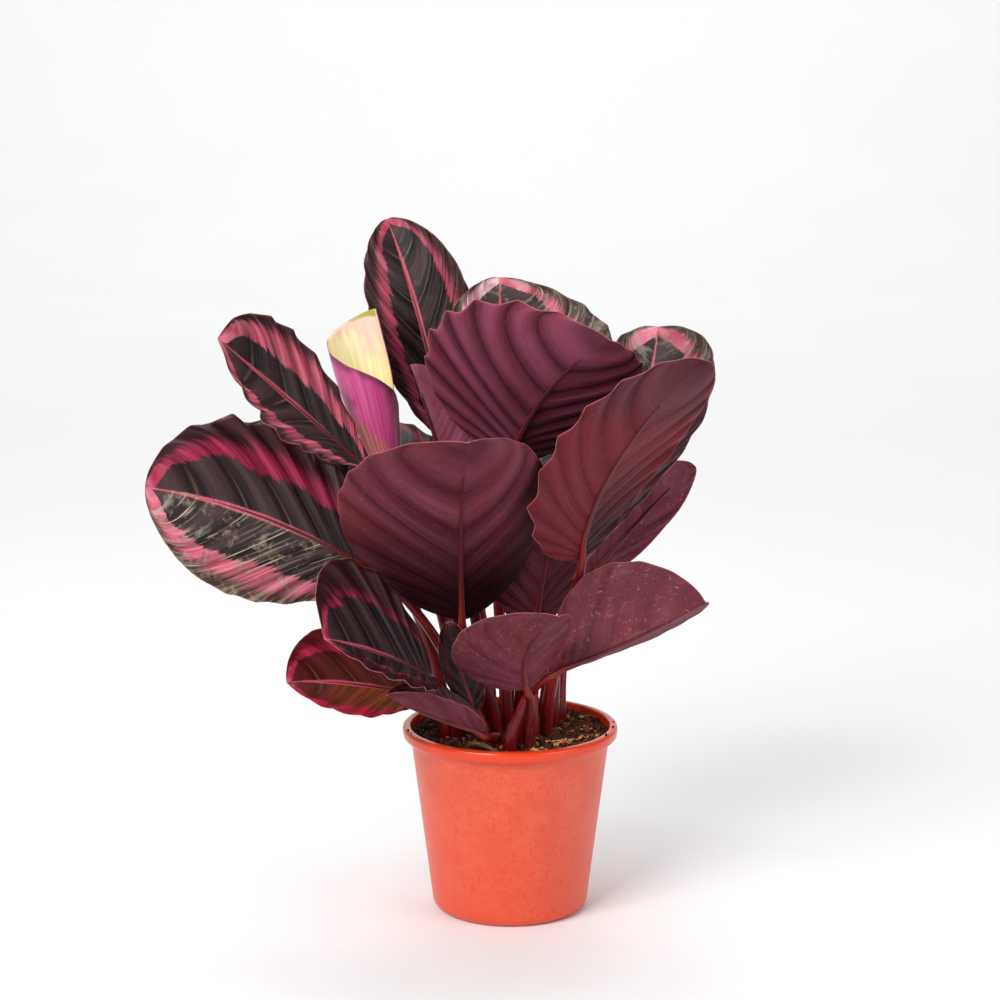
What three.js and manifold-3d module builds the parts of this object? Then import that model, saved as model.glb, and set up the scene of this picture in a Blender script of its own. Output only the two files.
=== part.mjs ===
// A potted calathea: a round plastic nursery pot, the soil that fills it, and broad leaves.
// Each leaf is a thin blade on a stalk of its own. The stalk rises from a plain hole in the
// soil and runs on under the blade as its midrib.
// Millimetres, +Z up, origin at the middle of the pot's underside. The front looks along +Y.

import * as THREE from 'three';
import { mergeVertices } from 'three/addons/utils/BufferGeometryUtils.js';
import Module from 'manifold-3d';

const wasm = await Module();
wasm.setup();

// ---------- driving dimensions ----------

const GAP = 0.35; // clearance between touching pieces
const TINY = 1e-4; // points closer than this are one point; a half that doesn't curl has this bend

const POT = {
  rimRadius: 60,
  height: 105,
  wall: 1.4,
  neckRadius: 55.3, // outer radius under the rim
  footRadius: 43.6, // outer radius where the wall meets the bottom bend
  footBend: 6,
  standRadius: 38, // outer edge of the ring that the pot stands on
  standWidth: 5,
  hubRadius: 14, // flat disc in the middle of the underside
  channelRise: 3, // how far the underside is raised between hub and ring
  rimDepth: 6.5,
  rimBead: 1.6, // bevel of the rim's outer edges
  rimLip: 1.2, // bevel of the mouth's edge
  shoulder: 1, // height of the step from the neck to the rim
  liner: 4, // how far below the rim's underside the inner wall begins to narrow
  drainRadius: 4,
  drainCount: 6,
  drainSides: 10,
  sides: 40,
};

const SOIL = {
  level: 103, // height of the surface in the middle
  dome: 1.5, // how much higher the middle is than the edge
  rings: 5,
  calm: 8, // width of the band at the edge where the lumps die away
  // Lumps, as waves across the surface: radians per millimetre in x and in y, and height.
  lumps: [[0.31, 0.09, 0.7], [-0.17, 0.33, 0.6], [0.4, 0.53, 0.4], [0.71, -0.37, 0.3]],
  stalkDepth: 32, // how deep the stalks stand in it
  holeSides: 8,
};

const BLADE = {
  thickness: 0.8,
  endHalf: 1.6, // half width at the very base and tip
  ripple: 0.9, // height of the swell between side veins
  sweep: 3, // how much nearer the base side veins leave the midrib than they meet the edge
  bend: 1.2, // how much of that turn is left for their outer part
  even: 0.2, // how much of that is left out where they leave the midrib
  crowd: 0.6, // how much the rows of facets draw together at the base and tip
  scallop: 0.02, // how far a wave moves the edge in and out, as a share of the half width
  belly: 0.62, // roundness of the outline at the base, unless the leaf has its own
  point: 0.66, // the same at the tip
  columns: 2, // columns of facets in each half
  broad: 85, // a blade wider than this has one more
};

const STALK = {
  soilRadius: 3.6,
  neckRadius: 1.9, // where the blade begins
  tipRadius: 0.5, // where the midrib ends
  rise: 2, // how far it runs straight up out of the soil
  ribShare: 0.78, // part of the blade's length that the midrib runs under
  ease: 0.3, // how far a stem keeps its direction at each end, as a share of its length
  sides: 6,
  stemSteps: 6,
  ribSteps: 4,
};

const COLOURS = {
  pot: { color: 0xe2502f, roughness: 0.42 },
  soil: { color: 0x2a1a14, roughness: 0.95 },
  blade: { color: 0x5a2436, roughness: 0.42 },
  young: { color: 0xc9607f, roughness: 0.4 },
  stalk: { color: 0x7c1a1f, roughness: 0.4 },
};

// ---------- the leaves ----------
// root   where the stalk leaves the soil, x and y
// base   where the blade begins; tip: where it ends
// bow    how far the midrib's middle is drawn off the straight line from base to tip
// face   the way the upper side looks
// halves width of the left and right half, seen on the upper side with the tip up
// twist  how far the blade turns about its midrib on the way to the tip, in degrees
// fold   how far each half is raised towards the upper side at the midrib, in degrees
// curl   how much further each half bends on the way to its edge, in degrees
// waves  waves along each edge; wave: their height
// belly  roundness of the outline's base end, smaller is rounder; point: the same for its tip end

const LEAVES = [
  { name: 'front_centre', root: [-8, -16], base: [-26, -32, 172], tip: [-22, -118, 284], bow: [-2, 13, 7],
    face: [0, 0.66, 0.75], halves: [50, 66], fold: [2, 2], curl: [42, 10], waves: 8, wave: 0.4 },
  { name: 'centre_tall', root: [-2, -5], base: [-1, -5, 255], tip: [51, -80, 331], bow: [-4, 8, 6],
    face: [0.18, 0.78, 0.59], halves: [50, 70], fold: [10, 0], curl: [20, 10], waves: 9, wave: 1.2 },
  { name: 'right_tall', root: [20, -12], base: [37, -30, 205], tip: [100, -75, 320], bow: [-12, 10, -2],
    face: [-0.58, 0.52, 0.62], twist: -24, halves: [48, 50], fold: [12, 0], curl: [0, 0], waves: 9, wave: 1.4,
    belly: 0.42, point: 0.58 },
  { name: 'rear_right', root: [24, 0], base: [38, 4, 193], tip: [84, 62, 320], bow: [7, -4, 0],
    face: [-0.1, -0.85, 0.4], halves: [28, 43], fold: [5, 18], curl: [10, 20], waves: 9, wave: 1.0,
    belly: 1.5, point: 0.5 },
  { name: 'rear_centre', root: [6, 16], base: [4, 8, 250], tip: [-6, 44, 350], bow: [-2, 0, 2],
    face: [0, -0.85, 0.45], halves: [40, 64], fold: [20, 0], curl: [10, 10], waves: 8, wave: 1.0 },
  { name: 'rear_left', root: [-11, 18], base: [-36, 52, 258], tip: [-70, 82, 379], bow: [1, -2, 8],
    face: [0.2, -0.9, 0.3], halves: [37, 35], fold: [26, 34], curl: [10, 10], waves: 9, wave: 1.0,
    belly: 0.7, point: 0.74 },
  { name: 'left_upper', root: [-29, -4], base: [-79, -9, 252], tip: [-153, -58, 329], bow: [-3, 8, 1],
    face: [0.61, -0.63, 0.25], halves: [43, 31], fold: [30, 8], curl: [10, 10], waves: 8, wave: 1.0,
    belly: 0.9, point: 0.48 },
  { name: 'left_big', root: [-24, -14], base: [-72, -25, 196], tip: [-192, -65, 251], bow: [-1, 0, 8],
    face: [0.47, -0.72, 0.5], halves: [46, 54], fold: [-12, 0], curl: [0, 6], waves: 9, wave: 1.2,
    belly: 0.72, point: 0.64 },
  { name: 'left_hidden', root: [-37, 8], base: [-78, 22, 217], tip: [-118, 32, 261], bow: [2, 0, 2],
    face: [0.3, -0.8, 0.5], halves: [28, 24], fold: [20, 20], curl: [10, 10], waves: 6, wave: 1.0 },
  { name: 'left_low', root: [-29, -22], base: [-42, -50, 145], tip: [-96, -108, 180], bow: [-2, 0, 3],
    face: [0.66, -0.46, 0.6], halves: [34, 54], fold: [30, 0], curl: [4, 6], waves: 7, wave: 0.5,
    belly: 0.56, point: 0.46 },
  { name: 'left_lowest', root: [-35, -17], base: [-47, -22, 126], tip: [-120, -55, 143], bow: [-2, 0, 3],
    face: [0.36, -0.69, 0.63], halves: [34, 33], fold: [30, 0], curl: [8, 12], waves: 7, wave: 0.3,
    belly: 0.9 },
  { name: 'front_left', root: [-8, -38], base: [-14, -50, 114], tip: [-66, -68, 139], bow: [-2, 0, -1],
    face: [0.3, 0, 0.95], halves: [19, 17], fold: [45, 55], curl: [10, 10], waves: 6, wave: 0.4 },
  { name: 'inner_left', root: [-14, -27], base: [-19, -27, 120], tip: [-33, -36, 172], bow: [-2, 0, 1],
    face: [-0.3, -0.9, 0.3], halves: [10, 14], fold: [10, 10], curl: [10, 10], waves: 5, wave: 0.4 },
  { name: 'front_small', root: [10, -38], base: [9, -45, 136], tip: [25, -92, 188], bow: [-8, 4, 0],
    face: [-0.3, 0.57, 0.75], halves: [28, 40], fold: [15, 18], curl: [4, 4], waves: 7, wave: 0.3 },
  { name: 'right_low', root: [3, -30], base: [23, -40, 145], tip: [103, -68, 190], bow: [0, 2, -3],
    face: [0, 0.8, 0.6], halves: [34, 43], fold: [38, 50], curl: [0, 0], waves: 7, wave: 0.5,
    point: 0.6 },
  { name: 'right_middle', root: [28, 14], base: [43, 38, 178], tip: [103, 32, 246], bow: [0, 0, 2],
    face: [-0.15, 0.9, 0.35], halves: [16, 26], fold: [0, 0], curl: [0, 0], waves: 7, wave: 0.6 },
  { name: 'inner_right', root: [12, -21], base: [14, -12, 162], tip: [27, -30, 230], bow: [-2, 0, 0],
    face: [-0.2, 0.8, 0.4], halves: [20, 28], fold: [10, 10], curl: [0, 0], waves: 7, wave: 1.0 },
  { name: 'inner_folded', root: [-12, 4], base: [-36, -1, 243], tip: [-54, -9, 308], bow: [2, 2, -2],
    face: [-0.1, 0.9, 0.3], halves: [22, 12], fold: [0, 95], curl: [0, 0], waves: 5, wave: 0.3 },
  { name: 'back_right', root: [20, 28], base: [30, 46, 156], tip: [66, 108, 222], bow: [0, -3, 5],
    face: [-0.3, -0.5, 0.8], halves: [36, 36], fold: [10, 10], curl: [6, 6], waves: 7, wave: 1.2 },
  { name: 'back_centre', root: [2, 31], base: [10, 44, 172], tip: [20, 120, 252], bow: [0, -4, 6],
    face: [0, -0.7, 0.7], halves: [38, 40], fold: [14, 14], curl: [6, 6], waves: 7, wave: 1.2 },
  { name: 'back_left', root: [-18, 26], base: [-39, 40, 180], tip: [-74, 110, 258], bow: [0, -4, 5],
    face: [0.3, -0.6, 0.7], halves: [34, 32], fold: [14, 14], curl: [6, 6], waves: 7, wave: 1.2 },
];

// The youngest leaf is still rolled into a cornet, whose outer edge is cut away towards the front.
const CORNET = {
  name: 'rolled', root: [-22, 8], base: [-65, 14, 236], tip: [-88, 14, 332], bow: [0, 0, 0],
  face: [0, -1, 0.2],
  neck: 2.8, // radius of the roll at its base
  flare: 12.4, // how much wider it is near the top
  flareEnd: 0.8, // where it stops widening, as a share of the height
  layer: 1.7, // growth of its radius in one turn
  turns: 1.07,
  start: -10, // where the inner edge lies, in degrees from the right
  cutaway: 0.64, // how much lower the outer edge ends, as a share of the height
  cutBend: 1.9, // how much of that drop is left for the outer part of the sheet
  stalkEnd: 0.03, // how far up inside the roll the stalk ends, as a share of the height
  rows: 8,
  columns: 15,
};

// A new leaf that is only a spear yet.
const SHOOT = { name: 'shoot', root: [0, -45], tip: [8, -50, 132], radius: 3.4 };

// ---------- small helpers ----------

const vec = ([x, y, z]) => new THREE.Vector3(x, y, z);
const { degToRad, lerp } = THREE.MathUtils;

// A closed geometry as a solid that can be joined and cut.
function solidFrom(geometry) {
  const bare = geometry.clone();
  bare.deleteAttribute('normal');
  bare.deleteAttribute('uv');
  const merged = mergeVertices(bare, TINY);
  return new wasm.Manifold(new wasm.Mesh({
    numProp: 3,
    vertProperties: new Float32Array(merged.attributes.position.array),
    triVerts: new Uint32Array(merged.index.array),
  }));
}

function geometryFrom(solid) {
  const mesh = solid.getMesh();
  const geometry = new THREE.BufferGeometry();
  geometry.setAttribute('position', new THREE.BufferAttribute(mesh.vertProperties, 3));
  geometry.setIndex(new THREE.BufferAttribute(mesh.triVerts, 1));
  geometry.computeVertexNormals();
  return geometry;
}

function named(name, geometry, look) {
  const mesh = new THREE.Mesh(geometry, new THREE.MeshStandardMaterial({ metalness: 0, ...look }));
  mesh.name = name;
  return mesh;
}

// A thin closed sheet. at(i, j) gives a grid point's two faces, { upper, lower }. Both faces
// are split along the same diagonals, so they never cross.
function sheetGeometry(rows, columns, at) {
  const points = [];
  for (let i = 0; i <= rows; i++) {
    for (let j = 0; j <= columns; j++) {
      const { upper, lower } = at(i, j);
      points.push(...upper.toArray(), ...lower.toArray());
    }
  }
  const index = (i, j, face) => 2 * (i * (columns + 1) + j) + face;
  const faces = [];
  for (let i = 0; i < rows; i++) {
    for (let j = 0; j < columns; j++) {
      // Each cell is split along its short diagonal, which mirrors at the midrib.
      const flip = j < columns / 2;
      const corner = [[i, j], [i, j + 1], [i + 1, j + 1], [i + 1, j]];
      const [a, b, c, d] = flip ? corner : [...corner.slice(1), corner[0]];
      for (const [p, q, r] of [[a, b, c], [a, c, d]]) {
        faces.push(index(...p, 0), index(...q, 0), index(...r, 0));
        faces.push(index(...p, 1), index(...r, 1), index(...q, 1));
      }
    }
  }
  const outline = [];
  for (let j = 0; j < columns; j++) outline.push([0, j]);
  for (let i = 0; i < rows; i++) outline.push([i, columns]);
  for (let j = columns; j > 0; j--) outline.push([rows, j]);
  for (let i = rows; i > 0; i--) outline.push([i, 0]);
  outline.forEach((p, n) => {
    const q = outline[(n + 1) % outline.length];
    faces.push(index(...p, 0), index(...p, 1), index(...q, 1));
    faces.push(index(...p, 0), index(...q, 1), index(...q, 0));
  });
  const geometry = new THREE.BufferGeometry();
  geometry.setAttribute('position', new THREE.Float32BufferAttribute(points, 3));
  geometry.setIndex(faces);
  geometry.computeVertexNormals();
  return geometry;
}

// A round rod whose centre line and radius are given by steps: [{ at, radius }, ...].
function rodGeometry(steps, sides) {
  const count = steps.length - 1;
  const rod = new THREE.CylinderGeometry(1, 1, 1, sides, count).toNonIndexed();
  const side = new THREE.Vector3(1, 0, 0);
  const axes = steps.map((step, n) => {
    const next = steps[Math.min(n + 1, count)].at;
    const last = steps[Math.max(n - 1, 0)].at;
    const ahead = next.clone().sub(last).normalize();
    side.addScaledVector(ahead, -side.dot(ahead)).normalize();
    return { right: side.clone(), up: ahead.cross(side) };
  });
  const position = rod.attributes.position;
  for (let n = 0; n < position.count; n++) {
    const step = Math.round((position.getY(n) + 0.5) * count);
    const { right, up } = axes[step];
    const point = steps[step].at.clone()
      .addScaledVector(right, -position.getX(n) * steps[step].radius)
      .addScaledVector(up, position.getZ(n) * steps[step].radius);
    position.setXYZ(n, point.x, point.y, point.z);
  }
  rod.deleteAttribute('normal');
  rod.deleteAttribute('uv');
  const closed = mergeVertices(rod, TINY);
  closed.computeVertexNormals();
  return closed;
}

// ---------- one leaf ----------

// Half width as a share of the widest, at u from 0 at the base to 1 at the tip.
function outlineAt(leaf, u) {
  const { belly, point } = { ...BLADE, ...leaf };
  const widest = belly / (belly + point);
  return (u ** belly * (1 - u) ** point) / (widest ** belly * (1 - widest) ** point);
}

// The midrib's curve and, at any u, the frame that the blade is built on.
function midribOf(leaf) {
  const [base, tip, bow] = [vec(leaf.base), vec(leaf.tip), vec(leaf.bow)];
  const middle = base.clone().add(tip).multiplyScalar(0.5).addScaledVector(bow, 2);
  const curve = new THREE.QuadraticBezierCurve3(base, middle, tip);
  const face = vec(leaf.face).normalize();
  const frameAt = (u) => {
    const along = curve.getTangent(u).normalize();
    const up = face.clone().addScaledVector(along, -face.dot(along)).normalize();
    const right = along.clone().cross(up);
    const twist = degToRad(leaf.twist ?? 0) * u;
    return {
      at: curve.getPoint(u), along,
      up: up.clone().applyAxisAngle(along, twist),
      right: right.clone().applyAxisAngle(along, twist),
    };
  };
  return { curve, frameAt };
}

// A point of the blade's middle surface and its normal. r runs from 0 at the base to 1 at the
// tip along the midrib, and side from -1 at the left edge to 1 at the right edge.
function bladePoint(leaf, midrib, r, side) {
  const t = Math.abs(side);
  const half = side < 0 ? 0 : 1;
  const eased = lerp(r, (1 - Math.cos(Math.PI * r)) / 2, BLADE.crowd);
  // The row is a side vein. It meets the edge at u = eased, and leaves the midrib nearer the base.
  const start = lerp(1 - Math.sqrt(1 - eased ** BLADE.sweep), eased, BLADE.even);
  const u = lerp(start, eased, t ** BLADE.bend);
  const wide = outlineAt(leaf, u);
  const swell = Math.cos(2 * Math.PI * leaf.waves * r);
  const scallop = 1 + BLADE.scallop * leaf.wave * t ** 4 * swell;
  const reach = lerp(BLADE.endHalf, leaf.halves[half], wide) * scallop;
  const fold = degToRad(leaf.fold[half]);
  const curl = degToRad(leaf.curl[half]) || TINY;
  const angle = fold + curl * t;
  const out = (reach / curl) * (Math.sin(angle) - Math.sin(fold));
  const raise = (reach / curl) * (Math.cos(fold) - Math.cos(angle));
  const { at, up, right } = midrib.frameAt(u);
  const outward = right.clone().multiplyScalar(side < 0 ? -1 : 1);
  const normal = up.clone().multiplyScalar(Math.cos(angle)).addScaledVector(outward, -Math.sin(angle));
  const lift = wide * swell * (BLADE.ripple * Math.sqrt(t) + leaf.wave * t ** 3);
  return {
    point: at.clone().addScaledVector(outward, out).addScaledVector(up, raise).addScaledVector(normal, lift),
    normal,
  };
}

function bladeGeometry(leaf) {
  const midrib = midribOf(leaf);
  const rows = 2 * leaf.waves;
  const perSide = BLADE.columns + (leaf.halves[0] + leaf.halves[1] > BLADE.broad ? 1 : 0);
  return sheetGeometry(rows, 2 * perSide, (i, j) => {
    const { point, normal } = bladePoint(leaf, midrib, i / rows, j / perSide - 1);
    const half = BLADE.thickness / 2;
    return {
      upper: point.clone().addScaledVector(normal, half),
      lower: point.clone().addScaledVector(normal, -half),
    };
  });
}

// The cornet: a sheet wound around its own midrib's line.
function cornetGeometry() {
  const { frameAt } = midribOf(CORNET);
  const { neck, flare, flareEnd, layer, turns, start, cutaway, cutBend, rows, columns } = CORNET;
  return sheetGeometry(rows, columns, (i, j) => {
    const wound = j / columns;
    const height = (i / rows) * (1 - cutaway * wound ** cutBend);
    const { at, up, right } = frameAt(height);
    const turn = degToRad(start) - 2 * Math.PI * turns * wound;
    const out = right.clone().multiplyScalar(Math.cos(turn)).addScaledVector(up, Math.sin(turn));
    const widened = Math.sin((Math.PI / 2) * Math.min(1, height / flareEnd));
    const radius = neck + layer * wound + flare * widened;
    const half = BLADE.thickness / 2;
    return {
      upper: at.clone().addScaledVector(out, radius + half),
      lower: at.clone().addScaledVector(out, radius - half),
    };
  });
}

// A stem from the soil to its neck: it leaves the soil straight up and arrives along the blade.
function stemSteps(root, neck, along) {
  const foot = new THREE.Vector3(...root, SOIL.level - SOIL.stalkDepth);
  const ground = new THREE.Vector3(...root, SOIL.level + STALK.rise);
  const reach = STALK.ease * ground.distanceTo(neck);
  const stem = new THREE.CubicBezierCurve3(
    ground,
    ground.clone().add(new THREE.Vector3(0, 0, reach)),
    neck.clone().addScaledVector(along, -reach),
    neck,
  );
  const steps = [{ at: foot, radius: STALK.soilRadius }];
  for (let n = 0; n <= STALK.stemSteps; n++) {
    const share = n / STALK.stemSteps;
    steps.push({ at: stem.getPoint(share), radius: lerp(STALK.soilRadius, STALK.neckRadius, share) });
  }
  return steps;
}

// A leaf's whole stalk: its stem, then the midrib that runs on under the blade.
function stalkSteps(leaf) {
  const { frameAt } = midribOf(leaf);
  const below = (u, radius) => {
    const { at, up } = frameAt(u);
    return at.addScaledVector(up, -(BLADE.thickness / 2 + GAP + radius));
  };
  const steps = stemSteps(leaf.root, below(0, STALK.neckRadius), frameAt(0).along);
  for (let n = 1; n <= STALK.ribSteps; n++) {
    const share = n / STALK.ribSteps;
    const radius = lerp(STALK.neckRadius, STALK.tipRadius, share);
    steps.push({ at: below(share * STALK.ribShare, radius), radius });
  }
  return steps;
}

// The cornet's stalk ends a little way up inside the roll.
function cornetStalk() {
  const { frameAt } = midribOf(CORNET);
  return stemSteps(CORNET.root, frameAt(CORNET.stalkEnd).at, frameAt(0).along);
}

// The shoot: as thick as a stalk in the soil, then running out to a point.
function shootSteps() {
  const ground = new THREE.Vector3(...SHOOT.root, SOIL.level);
  const tip = vec(SHOOT.tip);
  const steps = stemSteps(SHOOT.root, tip, tip.clone().sub(ground).normalize());
  steps.forEach((step, n) => {
    step.radius = lerp(SHOOT.radius, STALK.tipRadius, (n / (steps.length - 1)) ** 2);
  });
  return steps;
}

// ---------- pot and soil ----------

// The pot's section as radius and height. This run goes from the middle of the underside out
// over the hub, the raised channel and the standing ring, to the foot of the wall.
function potOuter() {
  const { footRadius, footBend, standRadius, standWidth, hubRadius, channelRise } = POT;
  const ringInner = standRadius - standWidth;
  const bend = Math.SQRT1_2;
  return [
    [0, 0], [hubRadius, 0], [hubRadius + channelRise, channelRise],
    [ringInner - channelRise, channelRise], [ringInner, 0], [standRadius, 0],
    [lerp(standRadius, footRadius, bend), footBend * (1 - bend)], [footRadius, footBend],
  ];
}

// From the top of the wall over the rim into the mouth.
function potRim() {
  const { rimRadius, height, neckRadius, rimDepth, rimBead, rimLip, shoulder } = POT;
  const under = height - rimDepth;
  return [
    [neckRadius, under - shoulder], [rimRadius - rimBead, under], [rimRadius, under + rimBead],
    [rimRadius, height - rimBead], [rimRadius - rimBead, height], [neckRadius + rimLip, height],
    [neckRadius, height - rimLip],
  ];
}

// From the top of the inner wall down to the middle of the floor's top side, or that far
// inside it: the soil fills the pot up to a clearance.
function potInner(clearance) {
  const { footRadius, footBend, standRadius, standWidth, hubRadius, channelRise, wall } = POT;
  const ringInner = standRadius - standWidth;
  const floor = wall + clearance;
  return [
    [POT.neckRadius - floor, POT.height - POT.rimDepth - POT.liner],
    [footRadius - floor, footBend + wall], [standRadius - floor / 2, floor],
    [ringInner + wall, floor], [ringInner - channelRise, channelRise + floor],
    [hubRadius + channelRise, channelRise + floor], [hubRadius, floor], [0, floor],
  ];
}

function lathe(points) {
  const geometry = new THREE.LatheGeometry(points.map(([x, y]) => new THREE.Vector2(x, y)), POT.sides);
  return geometry.rotateX(Math.PI / 2);
}

function potGeometry() {
  const { drainRadius, drainCount, drainSides, hubRadius, standRadius, standWidth, footBend } = POT;
  let pot = solidFrom(lathe([...potOuter(), ...potRim(), ...potInner(0)]));
  const channel = (hubRadius + standRadius - standWidth) / 2;
  for (let n = 0; n < drainCount; n++) {
    const hole = new THREE.CylinderGeometry(drainRadius, drainRadius, 2 * footBend, drainSides);
    const turn = (2 * Math.PI * n) / drainCount;
    hole.rotateX(Math.PI / 2).translate(channel * Math.cos(turn), channel * Math.sin(turn), 0);
    pot = pot.subtract(solidFrom(hole));
  }
  return geometryFrom(pot);
}

function lumpAt(x, y) {
  return SOIL.lumps.reduce((sum, [kx, ky, size]) => sum + size * Math.sin(kx * x + ky * y), 0);
}

// The soil fills the pot and reaches its shore, the edge of the surface, near the mouth.
function soilGeometry() {
  const shore = POT.neckRadius - POT.wall / 2 - GAP;
  const surface = [];
  for (let n = SOIL.rings; n >= 0; n--) {
    const share = n / SOIL.rings;
    surface.push([shore * share, SOIL.level - SOIL.dome * share ** 2]);
  }
  const geometry = lathe([...potInner(GAP).reverse(), ...surface]);
  const position = geometry.attributes.position;
  for (let n = 0; n < position.count; n++) {
    const [x, y, z] = [position.getX(n), position.getY(n), position.getZ(n)];
    const inward = shore - Math.hypot(x, y);
    if (z >= SOIL.level - SOIL.dome && inward > 0) {
      position.setZ(n, z + lumpAt(x, y) * Math.min(1, inward / SOIL.calm));
    }
  }
  let soil = solidFrom(geometry);
  const radius = (STALK.soilRadius + GAP) / Math.cos(Math.PI / SOIL.holeSides);
  const bottom = SOIL.level - SOIL.stalkDepth - GAP;
  const length = POT.height - bottom;
  for (const { root } of [...LEAVES, CORNET, SHOOT]) {
    const hole = new THREE.CylinderGeometry(radius, radius, length, SOIL.holeSides);
    hole.rotateX(Math.PI / 2).translate(...root, bottom + length / 2);
    soil = soil.subtract(solidFrom(hole));
  }
  return geometryFrom(soil);
}

// ---------- the plant ----------

const plant = new THREE.Group();
plant.add(named('pot', potGeometry(), COLOURS.pot));
plant.add(named('soil', soilGeometry(), COLOURS.soil));
for (const leaf of LEAVES) {
  plant.add(named(`blade_${leaf.name}`, bladeGeometry(leaf), COLOURS.blade));
  plant.add(named(`stalk_${leaf.name}`, rodGeometry(stalkSteps(leaf), STALK.sides), COLOURS.stalk));
}

plant.add(named(`blade_${CORNET.name}`, cornetGeometry(), COLOURS.young));
plant.add(named(`stalk_${CORNET.name}`, rodGeometry(cornetStalk(), STALK.sides), COLOURS.stalk));
plant.add(named(SHOOT.name, rodGeometry(shootSteps(), STALK.sides), COLOURS.stalk));

export default plant;
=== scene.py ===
import math
from functools import partial
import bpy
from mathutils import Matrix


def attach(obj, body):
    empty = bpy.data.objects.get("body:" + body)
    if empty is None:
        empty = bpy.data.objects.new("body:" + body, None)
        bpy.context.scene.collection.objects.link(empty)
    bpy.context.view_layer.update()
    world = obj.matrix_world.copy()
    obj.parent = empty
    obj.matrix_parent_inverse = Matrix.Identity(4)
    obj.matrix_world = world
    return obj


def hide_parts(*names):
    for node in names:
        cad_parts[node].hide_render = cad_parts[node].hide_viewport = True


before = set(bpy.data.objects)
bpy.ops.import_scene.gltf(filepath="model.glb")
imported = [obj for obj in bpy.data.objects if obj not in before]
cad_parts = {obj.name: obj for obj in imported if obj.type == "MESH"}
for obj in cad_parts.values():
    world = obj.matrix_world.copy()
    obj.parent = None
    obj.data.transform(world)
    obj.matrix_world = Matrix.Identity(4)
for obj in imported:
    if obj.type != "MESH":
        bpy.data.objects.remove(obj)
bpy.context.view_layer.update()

from types import SimpleNamespace

import bpy
import numpy as np
from mathutils import Vector, noise

# A potted calathea. Lengths are in millimetres until make_mesh turns them into metres.
MM = 0.001
TURN = 2 * math.pi

# ---------- the leaves, as in the part's source ----------

THICKNESS = 0.8  # of a blade's solid
SKIN = 0.5  # of the blade that is shown
GAP = 0.35  # between a solid blade and its midrib
END_HALF = 1.6  # half width at the very base and tip
RIPPLE = 0.9  # height of the swells between side veins
SWEEP, BEND = 3, 1.2  # how the side veins run out and bend towards the tip
EVEN, CROWD = 0.2, 0.6  # how even their spacing is at the base, and how they crowd at both ends
SCALLOP = 0.02  # how far the edge runs in and out with its waves
BELLY, POINT = 0.62, 0.66  # how full the outline is towards the base and towards the tip
SOIL_RADIUS, NECK_RADIUS, RIB_RADIUS = 3.6, 1.9, 0.5  # of a stalk, from the soil to the midrib's end
RIB_SHARE = 0.78  # how far along the blade the midrib shows
EASE = 0.3  # how slowly a stalk bends from upright to the blade's own direction
SOIL_LEVEL, SOIL_DOME, STALK_DEPTH = 103, 1.5, 32

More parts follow.
